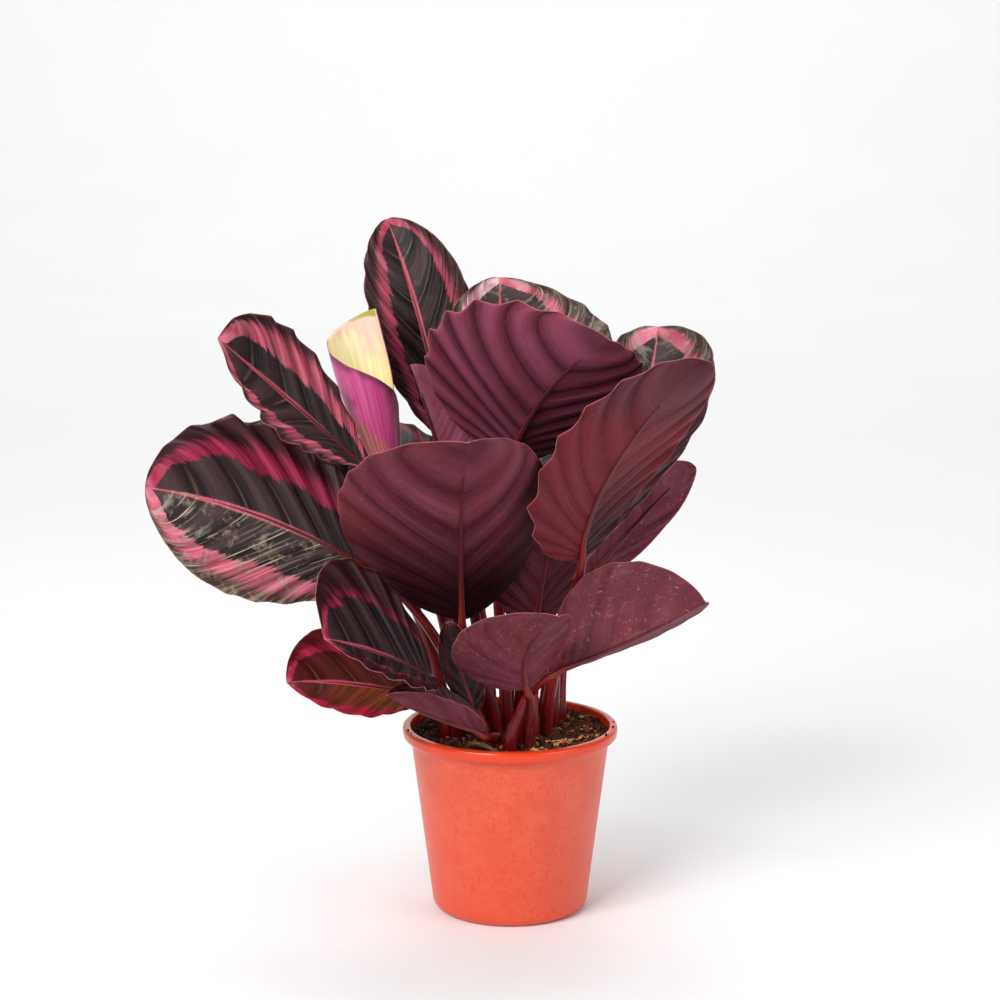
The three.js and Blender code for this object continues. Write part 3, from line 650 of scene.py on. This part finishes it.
def blade_piece(name, leaf, materials):
    rng = np.random.default_rng(sum(map(ord, name)))
    look = {**PLAIN, **LOOKS.get(name, {})}
    waves = leaf["waves"]
    r = np.linspace(0, 1, waves * ROWS_PER_WAVE + 1)[:, None]
    side = np.linspace(-1, 1, 2 * COLUMNS + 1)[None, :]
    r, side = np.broadcast_arrays(r, side)
    t, right_half = np.abs(side), side > 0

    def pick(pair):
        return np.where(right_half, pair[1], pair[0]).astype(float)

    eased = lerp(r, (1 - np.cos(math.pi * r)) / 2, CROWD)
    start = lerp(1 - np.sqrt(1 - eased ** SWEEP), eased, EVEN)
    u = lerp(start, eased, t ** BEND)
    wide = outline_at(leaf, u)
    drift = np.where(right_half, waver(r, rng), waver(r, rng))
    phase = waves * r + 0.16 * drift * np.sin(math.pi * r)
    depth = np.where(right_half, waver(r, rng, 6), waver(r, rng, 6))
    height = (1 + 0.35 * depth) * smooth(r, 0, 0.16)
    soft = np.cos(TURN * phase)
    sharp = 1 - 2 * np.abs(np.sin(math.pi * phase))
    swell = lerp(soft, sharp, 0.65) * height * look["pleat"]
    scallop = 1 + SCALLOP * leaf["wave"] * t ** 4 * lerp(soft, sharp, 0.6) * height
    nibble = 1 + 0.004 * t ** 6 * waver(r * 6, rng, 7)
    reach = lerp(END_HALF, pick(leaf["halves"]), wide) * scallop * nibble
    fold = np.radians(pick(leaf["fold"]))
    curl = np.maximum(np.radians(pick(leaf["curl"])), 1e-4)
    angle = fold + curl * t
    out = reach / curl * (np.sin(angle) - np.sin(fold))
    rise = reach / curl * (np.cos(fold) - np.cos(angle))
    at, along, up, right = frames_at(leaf, u)
    outward = right * np.where(right_half, 1, -1)[..., None]
    normal = up * np.cos(angle)[..., None] - outward * np.sin(angle)[..., None]
    warp = 0.9 * t * waver(r + 0.3 * side, rng)
    lift = wide * (swell * (RIPPLE * np.sqrt(t) + leaf["wave"] * t ** 3) + warp)
    fine = 0.10 * np.cos(3 * TURN * phase) * smooth(t, 0, 0.2) * (1 - smooth(t, 0.8, 1)) * wide
    channel = 0.45 * (1 - u) * np.exp(-((reach * t / 1.4) ** 2))
    middle = at + outward * out[..., None] + up * (rise - channel)[..., None]
    middle = middle + normal * (lift + fine)[..., None]

    length = np.linalg.norm(np.subtract(leaf["tip"], leaf["base"]))
    # The painted light that shines through fades out towards reach.
    fade = 1 - smooth(u, 0.75 * look["reach"], look["reach"]) if look["reach"] < 1 else 1
    worn_and_sheen = smooth(u, look["marks_from"] - 0.3, look["marks_from"]) if look["marks_from"] else 1
    inner, outer = zip(*look["ring"])
    # Painted shade: how much the whole leaf is darkened, and each half more towards its base.
    shade = look["shade"] + pick(look["base_shade"]) * (1 - smooth(u, 0, 0.6))
    fields = dict(
        phase=phase, side=side, u=u, across=reach * side, along=u * length, edge=reach * (1 - t),
        inner=pick(inner), outer=pick(outer), glow=pick(look["glow"]), scar=pick(look["scar"]) * worn_and_sheen,
        warm=pick(look["warm"]) * fade, seed=rng.uniform(0, 9), streaky=look["streaky"],
        under=look["under"], shade=shade, smear=look["smear"], pleated=look["pleat"], spare=1)
    ones = np.ones_like(r)
    kept = {
        key: np.stack([ones * fields[field] for field in group], -1) for key, group in LEAF_FIELDS.items()}
    thick = SKIN * (1 - 0.5 * t[..., None] ** 4)
    return sheet_piece(f"leaf_{name}", middle, thick, materials, **kept)


def stem_points(root, neck, along, count):
    ground = np.array([*root, SOIL_LEVEL + 2.0])
    reach = EASE * np.linalg.norm(neck - ground)
    handles = [ground, ground + [0, 0, reach], neck - along * reach, neck]
    s = np.linspace(0, 1, count)[:, None]
    weights = [(1 - s) ** 3, 3 * s * (1 - s) ** 2, 3 * s ** 2 * (1 - s), s ** 3]
    return sum(w * h for w, h in zip(weights, handles))


def rooted(root, radius, line, radii, shares):
    """A rod's line, radii and shares, with its foot deep in the soil put before them."""
    foot = [[*root, SOIL_LEVEL - STALK_DEPTH]]
    return np.concatenate([foot, line]), np.concatenate([[radius], radii]), np.concatenate([[0], shares])


def rod_piece(name, centres, radii, shares, material, trait, sides=14, squash=0.06):
    """A tube that ends in points, with how far along it each ring lies."""
    rings = tube_points(centres, radii, sides, squash)
    count = len(rings)
    points = np.concatenate([rings.reshape(-1, 3), centres[[0, -1]]])
    faces = tube_faces(count, sides).tolist()
    foot, head = count * sides, count * sides + 1
    last = (count - 1) * sides
    faces += [[foot, (n + 1) % sides, n] for n in range(sides)]
    faces += [[head, last + n, last + (n + 1) % sides] for n in range(sides)]
    turn = np.tile(np.abs(np.linspace(-1, 1, sides, endpoint=False)), count)
    rod = np.stack([np.repeat(shares, sides), turn, np.repeat(radii, sides)], -1)
    rod = np.concatenate([rod, [[shares[0], 0, radii[0]], [shares[-1], 0, radii[-1]]]])
    traits = np.tile(trait, (len(points), 1))
    return make_mesh(name, points, faces, [material], rod=rod, trait=traits)


def stalk_piece(name, leaf, material):
    rng = np.random.default_rng(3 + sum(map(ord, name)))
    look = {**PLAIN, **LOOKS.get(name, {})}
    at, along, up, _ = frames_at(leaf, np.array([0.0]))
    neck = at[0] - up[0] * (THICKNESS / 2 + GAP + NECK_RADIUS)
    stem = stem_points(leaf["root"], neck, along[0], STEM_RINGS)
    s = np.linspace(0, 1, STEM_RINGS)
    joint = 1 + 0.14 * np.exp(-((s - 0.93) / 0.06) ** 2)
    stem_radii = lerp(SOIL_RADIUS, NECK_RADIUS, s) * joint * (1 + 0.03 * waver(s, rng))
    v = np.linspace(0, 1, RIB_RINGS)[1:]
    at, along, up, _ = frames_at(leaf, v * RIB_SHARE)
    rib_radii = lerp(NECK_RADIUS, RIB_RADIUS, v ** 0.7)
    sunk = lerp(THICKNESS / 2 + GAP + rib_radii, SKIN / 2 + 0.35 * rib_radii, smooth(v, 0, 0.12))
    rib = at - up * sunk[:, None]
    line = np.concatenate([stem, rib])
    radii = np.concatenate([stem_radii, rib_radii])
    shares = np.concatenate([s, 1 + v])
    trait = [look["red"], 0, rng.uniform(0, 9)]
    whole_rod = rooted(leaf["root"], SOIL_RADIUS, line, radii, shares)
    return rod_piece(f"stem_{name}", *whole_rod, material, trait)


# ---------- the rolled leaf and the shoot ----------

def cornet_piece(materials):
    rows, columns = 70, 140
    i, j = np.meshgrid(np.linspace(0, 1, rows + 1), np.linspace(0, 1, columns + 1), indexing="ij")
    height = i * (1 - CORNET["cutaway"] * j ** CORNET["cut_bend"])
    at, along, up, right = frames_at(CORNET, height)
    turn = math.radians(CORNET["start"]) - TURN * CORNET["turns"] * j
    out = right * np.cos(turn)[..., None] + up * np.sin(turn)[..., None]
    widened = np.sin(math.pi / 2 * np.minimum(1, height / CORNET["flare_end"]))
    radius = CORNET["neck"] + CORNET["layer"] * j + CORNET["flare"] * widened
    rng = np.random.default_rng(5)
    radius = radius + 0.35 * waver(i, rng) * i + 0.25 * np.cos(TURN * (9 * j + 1.5 * i)) * i ** 2
    middle = at + out * radius[..., None] + along * (0.7 * waver(j, rng, 7) * i ** 6)[..., None]
    # The grid runs round the roll against the sun, so it is turned over to face out.
    middle, i, j, height = (grid[:, ::-1] for grid in (middle, i, j, height))
    place = np.stack([height, j, i], -1)
    return sheet_piece("leaf_rolled", middle, SKIN, materials, place=place)


def cornet_outer_material():
    """Outside: magenta, purple towards the free edge, darkened on the right of the roll as painted shade,
    with a salmon foot.
    """
    look = Look("rolled_outer", specular=0.45)
    height, wound, up = look.read("place")
    lines = noise_over(wound * 70.0, height * 2.5, 0.0, 3.0)
    slow = noise_over(wound * 7.0, height * 3.0, 4.0)
    pink = mix(step(lines, 0.3, 0.72), rgb(196, 62, 124), rgb(216, 98, 152))
    violet = mix(step(lines, 0.35, 0.65), rgb(96, 30, 62), rgb(120, 40, 84))
    teeth = noise_over(wound * 60.0, height * 3.0, 9.0) - 0.5
    foot_end = smaller(0.46, 1.15 - wound * 1.25)
    foot = step(height + teeth * 0.2 - foot_end, 0.025, -0.025)
    # The free edge is purple. The last part of the sheet, on the right of the roll, is darkened to a deep
    # purple as painted shade.
    edge = step(up + (slow - 0.5) * 0.2, 0.9, 0.985)
    shaded_side = step(wound + (slow - 0.5) * 0.3, 0.72, 0.88)
    colour = mix(shaded_side * 0.85, pink, rgb(104, 22, 50))
    colour = mix(step(slow, 0.6, 0.75), colour, rgb(150, 36, 88))
    colour = mix(foot, colour, mix(step(lines, 0.35, 0.65), rgb(184, 82, 98), rgb(216, 134, 122)))
    colour = mix(edge * 0.85, colour, violet)
    colour = mix(step(height, 0.955, 0.985), colour, rgb(196, 190, 92))
    return look.done(colour, lines, 0.2, 0.4, Roughness=0.36)


def cornet_inner_material():
    """Inside: cream, with a pink blush near the top and green along the top edge."""
    look = Look("rolled_inner", specular=0.4)
    height, wound, _ = look.read("place")
    lines = noise_over(wound * 50.0, height * 3.0, 2.0, 3.0)
    slow = noise_over(wound * 8.0, height * 4.0, 6.0, 3.0)
    teeth = noise_over(wound * 50.0, height * 6.0, 3.0) - 0.5
    cream = mix(step(lines, 0.35, 0.65), rgb(236, 226, 168), rgb(248, 240, 196))
    side = height - wound * 0.9
    blush = step(side + teeth * 0.25 + (slow - 0.5) * 0.6, 0.56, 0.68)
    colour = mix(blush * 0.8, cream, mix(lines, rgb(240, 178, 180), rgb(248, 220, 208)))
    ragged = height + (slow - 0.5) * 0.06
    nibbled = mix(step(slow, 0.5, 0.56), rgb(172, 166, 60), rgb(238, 234, 206))
    colour = mix(step(ragged, 0.94, 0.965), colour, nibbled)
    return look.done(colour, lines, 0.2, 0.4, Roughness=0.4)


def rolled_stalk_piece(material):
    at, along, _, _ = frames_at(CORNET, np.array([0, CORNET["stalk_end"]]))
    stem = stem_points(CORNET["root"], at[1], along[0], STEM_RINGS)
    s = np.linspace(0, 1, STEM_RINGS)
    rod = rooted(CORNET["root"], SOIL_RADIUS, stem, lerp(SOIL_RADIUS, NECK_RADIUS, s), s)
    return rod_piece("stem_rolled", *rod, material, [0.7, 0, 4.0])


def shoot_piece(material):
    ground = np.array([*SHOOT["root"], SOIL_LEVEL])
    tip = np.array(SHOOT["tip"], float)
    stem = stem_points(SHOOT["root"], tip, unit(tip - ground), 26)
    s = np.linspace(0, 1, 26)
    radii = lerp(SHOOT["radius"], 0.35, s ** 2)
    rod = rooted(SHOOT["root"], SHOOT["radius"], stem, radii, s * 0.85)
    return rod_piece("new_shoot", *rod, material, [0.35, 0, 2.0], squash=0.14)


def old_sheath_piece():
    """The brown foot of a stalk that has gone: it leans from the soil on the rim in front."""
    look = Look("old_sheath", Roughness=0.5, specular=0.3)
    share, turn, _ = look.read("rod")
    lines = noise_over(share * 3.0, turn * 8.0, 0.0, 3.0)
    colour = mix(step(lines, 0.35, 0.65), rgb(70, 34, 34), rgb(128, 92, 58))
    look.set(Base_Color=mix(step(share, 0.6, 1.0), colour, rgb(96, 78, 44)))
    look.bump(lines, 0.4, 0.3)
    s = np.linspace(0, 1, 16)[:, None]
    centres = curve(*map(np.array, SHEATH), s)
    radii = 2.2 * np.sin(math.pi * lerp(0.12, 0.94, s[:, 0])) ** 0.7
    return rod_piece("old_sheath", centres, radii, s[:, 0], look.data, [0, 0, 1.0], squash=0.3)


# ---------- pot ----------

SIDES = 180
AXIS = 0.01  # a section ends this close to the pot's middle line
RIM_TOP = 105
DRAINS, DRAIN_RADIUS, DRAIN_CIRCLE, DRAIN_SIDES = 6, 4, 23, 32


def lathe_points(profile, sides):
    turn = np.linspace(0, TURN, sides, endpoint=False)
    profile = np.asarray(profile, float)
    return np.stack([
        profile[:, 0][:, None] * np.cos(turn), profile[:, 0][:, None] * np.sin(turn),
        np.repeat(profile[:, 1][:, None], sides, 1)], -1).reshape(-1, 3)


def bend(centre, radius, start, stop, count):
    """Points of a rounded corner in the section, angles in degrees."""
    turn = np.radians(np.linspace(start, stop, count))
    return [(centre[0] + radius * math.cos(a), centre[1] + radius * math.sin(a)) for a in turn]


def slope(start, end, shares):
    return [(lerp(start[0], end[0], share), lerp(start[1], end[1], share)) for share in shares]


def pot_profile():
    """From the middle of the underside out, up the wall, over the rim and down to the floor's middle."""
    hub, channel, ring = (14, 0), [(14.6, 0.4), (17, 3), (29, 3), (31.4, 0.4)], [(32, 0), (37.4, 0)]
    points = [(AXIS, 0), hub, *channel, *ring, *bend((37.6, 6.0), 6.0, -90, -8, 9)]
    points += slope((43.6, 6), (55.3, 97.4), np.linspace(0.02, 1, 24))
    points += bend((58.4, 99.9), 1.4, -100, -8, 5)
    points += [(60, 101.4), (60, 102.6), *bend((58.0, 103.0), 2.0, 0, 90, 8), (57.4, RIM_TOP)]
    points += [*bend((56.6, 104.0), 1.0, 100, 180, 5), (55.3, 101), (53.9, 94.5)]
    points += slope((53.9, 94.5), (42.2, 7.4), np.linspace(0.1, 1, 8))
    return points + [(37.3, 1.4), (33.4, 1.4), (29, 4.4), (17, 4.4), (14, 1.4), (AXIS, 1.4)]


def drill_piece(name, turn, material):
    """A rod that is taken out of the pot's floor for one drain hole."""
    ring = [(AXIS, -3), (DRAIN_RADIUS, -3), (DRAIN_RADIUS, 7), (AXIS, 7)]
    middle = [DRAIN_CIRCLE * math.cos(turn), DRAIN_CIRCLE * math.sin(turn), 0]
    points = lathe_points(ring, DRAIN_SIDES) + middle
    return make_mesh(name, points, tube_faces(len(ring), DRAIN_SIDES), [material])


def pot_piece(material):
    profile = pot_profile()
    last = (len(profile) - 1) * SIDES
    here = np.arange(SIDES)
    after = (here + 1) % SIDES
    closing = np.stack([here, last + here, last + after, after], -1)
    faces = np.concatenate([tube_faces(len(profile), SIDES), closing])
    pot = make_mesh("nursery_pot", lathe_points(profile, SIDES), faces, [material])
    drills = [drill_piece(f"drill_{n}", TURN * n / DRAINS, material) for n in range(DRAINS)]
    for drill in drills:
        cut = pot.modifiers.new("drain", "BOOLEAN")
        cut.operation, cut.object, cut.solver = "DIFFERENCE", drill, "EXACT"
    bpy.context.view_layer.update()
    drained = bpy.data.meshes.new_from_object(pot.evaluated_get(bpy.context.evaluated_depsgraph_get()))
    pot.modifiers.clear()
    pot.data = drained
    for drill in drills:
        bpy.data.objects.remove(drill)
    return pot


# Four sizes of water spots: how close they lie, how large they are in their cell, and a shift.
POT_SPOTS = (240.0, 0.34, 0.0), (100.0, 0.26, 0.3), (430.0, 0.42, 0.7), (900.0, 0.5, 0.9)


def pot_material():
    """Orange plastic under a thin pale bloom, which water spots have washed off in places."""
    look = Look("pot_plastic", specular=0.45, Coat_Weight=0.2, Coat_Roughness=0.15)
    place = look.where()
    x, y, z = parts(place)
    spots = 0.0
    for scale, size, offset in POT_SPOTS:
        distance, colour = cells(join(x + offset, y, z * 0.85), scale)
        pick, _, _ = parts(colour)
        distance = distance + (noise_at(place, 700.0) - 0.5) * 0.5
        radius = step(pick, 0.45, 0.9) * size
        spots = larger(spots, step(distance - radius, 0.04, -0.04))
    region = noise_at(place, 24.0)
    spots = spots * step(region, 0.28, 0.5)
    clouds = noise_at(place, 60.0, 4.0, 0.6)
    rim = step(z, 0.0965, 0.0985)
    bare = larger(rim, spots * 0.6)
    film = mix(step(clouds, 0.35, 0.65), rgb(214, 78, 46), rgb(220, 88, 58))
    low = step(z, 0.08, 0.0)
    film = mix(low * 0.5, film, rgb(220, 74, 40))
    colour = mix(bare, film, rgb(219, 58, 6))
    dust = step(noise_at(place, 1300.0), 0.68, 0.73)
    colour = mix(dust * 0.4, colour, rgb(160, 50, 42))
    relief = noise_at(place, 900.0, 3.0) * 0.3 + spots * -0.3
    return look.done(colour, relief, 0.12, 0.3, Roughness=0.44 + bare * -0.2 + clouds * 0.06)


# ---------- soil ----------

SOIL_REACH, SOIL_EDGE, SOIL_RINGS = 54, 54.3, 60
CALM_BAND = 8  # the lumps die down this far from the wall
CRUMB_REACH, FIBRE_REACH, FLAKE_REACH = 53, 51, 50  # where they begin, from the middle
FIBRE_LIMIT = 52.5  # where a fibre turns back from the wall


def soil_height(x, y):
    reach = math.hypot(x, y)
    share = min(reach / SOIL_REACH, 1)
    calm = min(1, (SOIL_REACH - reach) / CALM_BAND)
    lump = 2.0 * noise.noise(Vector((x, y, 3.0)) * 0.11) + 1.1 * noise.noise(Vector((x, y, 9.0)) * 0.33)
    return SOIL_LEVEL - SOIL_DOME * share ** 2 + max(calm, 0.25) * lump - 0.4


def soil_piece(material):
    profile = [(AXIS, 1.9), (13, 1.9), (17, 4.9), (29, 4.9), (33, 1.9), (37, 1.9), (41.6, 7.4), (53.3, 94.5)]
    below = len(profile)
    profile += [(SOIL_EDGE * n / SOIL_RINGS, SOIL_LEVEL) for n in range(SOIL_RINGS, 0, -1)]
    profile.append((AXIS, SOIL_LEVEL))
    points = lathe_points(profile, SIDES)
    for point in points[below * SIDES:]:
        point[2] = soil_height(point[0], point[1])
        point[2] += 0.35 * noise.noise(Vector(point) * 1.1)
    return make_mesh("soil_body", points, tube_faces(len(profile), SIDES), [material])


def scatter(rng, count, reach):
    turn = rng.uniform(0, TURN, count)
    radius = reach * np.sqrt(rng.uniform(0, 1, count))
    return radius * np.cos(turn), radius * np.sin(turn)


def turns(rng, count):
    """Random rotations."""
    q = unit(rng.normal(size=(count, 4)))
    w, x, y, z = q.T
    return np.stack([
        np.stack([1 - 2 * (y * y + z * z), 2 * (x * y - z * w), 2 * (x * z + y * w)], -1),
        np.stack([2 * (x * y + z * w), 1 - 2 * (x * x + z * z), 2 * (y * z - x * w)], -1),
        np.stack([2 * (x * z - y * w), 2 * (y * z + x * w), 1 - 2 * (x * x + y * y)], -1)], -2)


def icosahedron():
    g = (1 + math.sqrt(5)) / 2
    points = unit(np.array([(-1, g, 0), (1, g, 0), (-1, -g, 0), (1, -g, 0), (0, -1, g), (0, 1, g),
                            (0, -1, -g), (0, 1, -g), (g, 0, -1), (g, 0, 1), (-g, 0, -1), (-g, 0, 1)], float))
    faces = np.array([(0, 11, 5), (0, 5, 1), (0, 1, 7), (0, 7, 10), (0, 10, 11), (1, 5, 9), (5, 11, 4),
                      (11, 10, 2), (10, 7, 6), (7, 1, 8), (3, 9, 4), (3, 4, 2), (3, 2, 6), (3, 6, 8),
                      (3, 8, 9), (4, 9, 5), (2, 4, 11), (6, 2, 10), (8, 6, 7), (9, 8, 1)])
    return points, faces


# A few crumbs lie on the rim: x, y and size.
RIM_CRUMBS = [(-56.4, -15.5, 1.0), (-54.6, -20.5, 0.8), (57.2, -7.5, 0.9), (52.8, -24.8, 1.1), (58, 3, 0.6)]


def crumbs_piece(material, count=4800):
    rng = np.random.default_rng(11)
    x, y = scatter(rng, count, CRUMB_REACH)
    size = 0.38 + 0.5 * rng.pareto(2.6, count).clip(0, 3.2)
    z = np.array([soil_height(a, b) for a, b in zip(x, y)]) + 0.25 * size + rng.uniform(-0.2, 0.5, count)
    spilt = np.array(RIM_CRUMBS).T
    x, y, size = (np.concatenate([all_of, some]) for all_of, some in zip((x, y, size), spilt))
    z = np.concatenate([z, RIM_TOP + 0.3 * spilt[2]])
    count = len(x)
    ball, faces = icosahedron()
    corners = len(ball)
    shape = ball[None] * rng.uniform(0.65, 1.2, (count, corners, 1)) * rng.uniform(0.55, 1.25, (count, 1, 3))
    points = np.einsum("nij,nkj->nki", turns(rng, count), shape) * size[:, None, None]
    points += np.stack([x, y, z], -1)[:, None]
    all_faces = faces[None] + corners * np.arange(count)[:, None, None]
    kind = rng.uniform(0, 1, count)
    kind[-len(RIM_CRUMBS):] = 0
    tone = np.repeat(np.stack([kind, size, rng.uniform(0, 9, count)], -1), corners, 0)
    return make_mesh("soil_crumbs", points.reshape(-1, 3), all_faces.reshape(-1, 3), [material], trait=tone)


def gathered(name, bits, faces, material):
    """One mesh of many bits that have the same faces; each bit has its points and its tone."""
    size = len(bits[0][0])
    points = np.concatenate([bit for bit, _ in bits])
    all_faces = np.concatenate([faces + size * n for n in range(len(bits))])
    tones = np.repeat([[tone, 0, n] for n, (_, tone) in enumerate(bits)], size, 0)
    return make_mesh(name, points, all_faces, [material], trait=tones)


def fibres_piece(material, count=260):
    rng = np.random.default_rng(12)
    x, y = scatter(rng, count, FIBRE_REACH)
    bits = []
    steps, sides = 8, 5
    for n in range(count):
        heading = rng.uniform(0, TURN)
        length = rng.uniform(3, 13)
        line = []
        px, py, lift = x[n], y[n], rng.uniform(0.2, 1.0)
        for k in range(steps):
            heading += rng.normal(0, 0.35)
            px += math.cos(heading) * length / steps
            py += math.sin(heading) * length / steps
            if math.hypot(px, py) > FIBRE_LIMIT:
                px, py = px * 0.97, py * 0.97
            hump = lift * 2.2 * math.sin(math.pi * k / (steps - 1))
            line.append((px, py, soil_height(px, py) + 0.5 + hump))
        radius = rng.uniform(0.10, 0.24) * np.linspace(1, 0.5, steps)
        bits.append((tube_points(np.array(line), radius, sides).reshape(-1, 3), rng.uniform(0, 1)))
    return gathered("soil_fibres", bits, tube_faces(steps, sides), material)


# Dry flakes lie mostly at the front right: x, y, length, width and heading in degrees.
FLAKES = [(22, -34, 6, 2.4, 20), (27, -31, 9, 2.2, 28), (34, -26, 8, 1.8, 34), (40, -21, 9, 2, 40),
          (31, -30, 6, 1.6, 10), (13, -46, 5, 2.4, 0), (18, -43, 4, 2, -12), (25, -37, 4, 2, 50)]


def flakes_piece(material, count=46):
    rng = np.random.default_rng(13)
    spots = list(FLAKES)
    x, y = scatter(rng, count, FLAKE_REACH)
    spots += [(a, b, *rng.uniform((1.5, 0.8, 0), (4.2, 2.2, 360))) for a, b in zip(x, y)]
    rows, columns = 12, 6
    bits = []
    i, j = np.meshgrid(np.linspace(-1, 1, rows + 1), np.linspace(-1, 1, columns + 1), indexing="ij")
    for cx, cy, length, width, heading in spots:
        ragged = (1 - 0.75 * np.abs(i) ** 2.2) * (1 + 0.35 * waver((i + 1) / 2, rng, 6))
        a, b = i * length / 2, j * ragged * width / 2
        turn = math.radians(heading)
        px = cx + a * math.cos(turn) - b * math.sin(turn)
        py = cy + a * math.sin(turn) + b * math.cos(turn)
        crumple = 0.10 * length * waver((i + 1) / 2, rng, 5)
        crumple = crumple + 0.22 * width * waver((j + 1) / 2 + 0.4 * i, rng, 5)
        ground = np.vectorize(soil_height)(px, py)
        pz = np.maximum(ground + 0.9 + np.clip(crumple, -0.5, 2.4) + 0.06 * length, ground + 0.5)
        bits.append((np.stack([px, py, pz], -1).reshape(-1, 3), rng.uniform(0, 1)))
    piece = gathered("soil_flakes", bits, grid_faces(rows, columns), material)
    thick = piece.modifiers.new("thickness", "SOLIDIFY")
    thick.thickness = 0.3 * MM
    return piece


def soil_material():
    look = Look("soil_dark", specular=0.25, Roughness=0.9)
    place = look.where()
    grain = noise_at(place, 700.0, 5.0, 0.7)
    lumps = noise_at(place, 180.0, 3.0)
    colour = mix(step(grain, 0.35, 0.7), rgb(30, 13, 9), rgb(78, 40, 27))
    colour = mix(step(lumps, 0.5, 0.7) * 0.5, colour, rgb(40, 20, 16))
    return look.done(colour, grain + lumps, 0.8, 1.0)


def litter_look(name, specular, roughness, *grain):
    """The material of loose bits in the soil, with each bit's tone and its grain."""
    look = Look(name, specular=specular, Roughness=roughness)
    tone, _, _ = look.read("trait")
    return look, tone, noise_at(look.where(), *grain)


def crumb_material():
    look, tone, grain = litter_look("soil_crumb", 0.3, 0.85, 900.0, 4.0, 0.7)
    colour = mix(step(tone + (grain - 0.5), 0.1, 0.9), rgb(34, 15, 10), rgb(98, 52, 34))
    colour = mix(step(tone, 0.955, 0.965), colour, rgb(186, 110, 50))
    return look.done(mix(step(tone, 0.985, 0.99), colour, rgb(214, 170, 110)), grain, 0.6, 0.6)


def fibre_material():
    look, tone, grain = litter_look("soil_fibre", 0.3, 0.7, 600.0, 3.0)
    colour = mix(step(tone + (grain - 0.5), 0.2, 1.0), rgb(60, 28, 18), rgb(160, 92, 52))
    return look.done(colour, grain, 0.4, 0.2)


def flake_material():
    look, tone, grain = litter_look("soil_flake", 0.35, 0.6, 500.0, 4.0, 0.6)
    share = step(tone * 0.7 + grain + -0.35, 0.1, 0.8)
    return look.done(mix(share, rgb(160, 88, 26), rgb(222, 172, 104)), grain, 0.5, 0.4)


# ---------- stage ----------

# The camera's lens in millimetres, its distance in metres and how far it looks down in degrees.
CAMERA_LENS, CAMERA_DISTANCE, CAMERA_PITCH = 98.2, 1.5, 10.85
AIM_X, AIM_HEIGHT = -0.0056, 0.232


def stage():
    """A pale floor that curves up into the backdrop, soft lights and the photo's camera."""
    profile = [(y, 0.0) for y in np.linspace(-4, 3, 15)]
    profile += [(3 + 1.5 * math.sin(a), 1.5 - 1.5 * math.cos(a)) for a in np.linspace(0.1, math.pi / 2, 12)]
    profile += [(4.5, 3.0), (4.5, 5.0)]
    points = [(x, y, z) for y, z in profile for x in (-6, 6)]
    faces = [(2 * n, 2 * n + 1, 2 * n + 3, 2 * n + 2) for n in range(len(profile) - 1)]
    floor_look = Look("floor_paper", Roughness=0.8, specular=0.2)
    tone = noise_at(floor_look.where(), 3.0)
    floor_look.set(Base_Color=mix(tone, (0.86, 0.86, 0.87, 1), (0.9, 0.9, 0.9, 1)))
    floor = make_mesh("floor", np.array(points) / MM, faces, [floor_look.data])

    def lamp(name, place, aim, size, power):
        light = bpy.data.lights.new(name, "AREA")
        light.shape = "RECTANGLE"
        light.size, light.size_y = size
        light.energy = power
        turn = (Vector(aim) - Vector(place)).to_track_quat("-Z", "Y").to_euler()
        add_object(name, light, place, turn)

    lamp("key", (-1.1, -1.5, 1.5), (0, 0, 0.22), (1.2, 1.2), 46)
    lamp("fill", (1.6, -1.1, 0.9), (0, 0, 0.2), (1.2, 1.4), 11)
    lamp("top", (0.1, 0.5, 1.8), (0, 0, 0.2), (1.2, 0.8), 14)
    lamp("backdrop", (0, 2.2, 2.6), (0, 4.4, 0.8), (4.0, 1.0), 60)
    world = bpy.data.worlds.new("studio")
    world.use_nodes = True
    sky = world.node_tree.nodes["Background"].inputs
    sky["Color"].default_value = (1, 1, 1, 1)
    sky["Strength"].default_value = 0.35
    bpy.context.scene.world = world
    bpy.context.scene.view_settings.view_transform = "Standard"

    camera = bpy.data.cameras.new("camera")
    camera.lens, camera.sensor_width = CAMERA_LENS, 36
    pitch = math.radians(CAMERA_PITCH)
    away, up = CAMERA_DISTANCE * math.cos(pitch), CAMERA_DISTANCE * math.sin(pitch)
    place, turn = (AIM_X, -away, AIM_HEIGHT + up), (math.pi / 2 - pitch, 0, 0)
    bpy.context.scene.camera = add_object("camera", camera, place, turn)


# ---------- putting it together ----------

stage()
blade_looks = [upper_material(), lower_material(), edge_material()]
stalk_look = stalk_material()
for name, leaf in LEAVES.items():
    settle(blade_piece(name, leaf, blade_looks), "blade", f"blade_{name}")
    settle(stalk_piece(name, leaf, stalk_look), "stalk", f"stalk_{name}")

settle(cornet_piece([cornet_inner_material(), cornet_outer_material(), edge_material()]),
       "young_blade", "blade_rolled")
settle(rolled_stalk_piece(stalk_look), "stalk", "stalk_rolled")
settle(shoot_piece(stalk_look), "stalk", "shoot")
settle(pot_piece(pot_material()), "pot", "pot")
settle(soil_piece(soil_material()), "soil", "soil")
settle(crumbs_piece(crumb_material()), "soil")
settle(fibres_piece(fibre_material()), "soil")
settle(flakes_piece(flake_material()), "soil")
settle(old_sheath_piece(), "stalk")

bpy.context.view_layer.update()
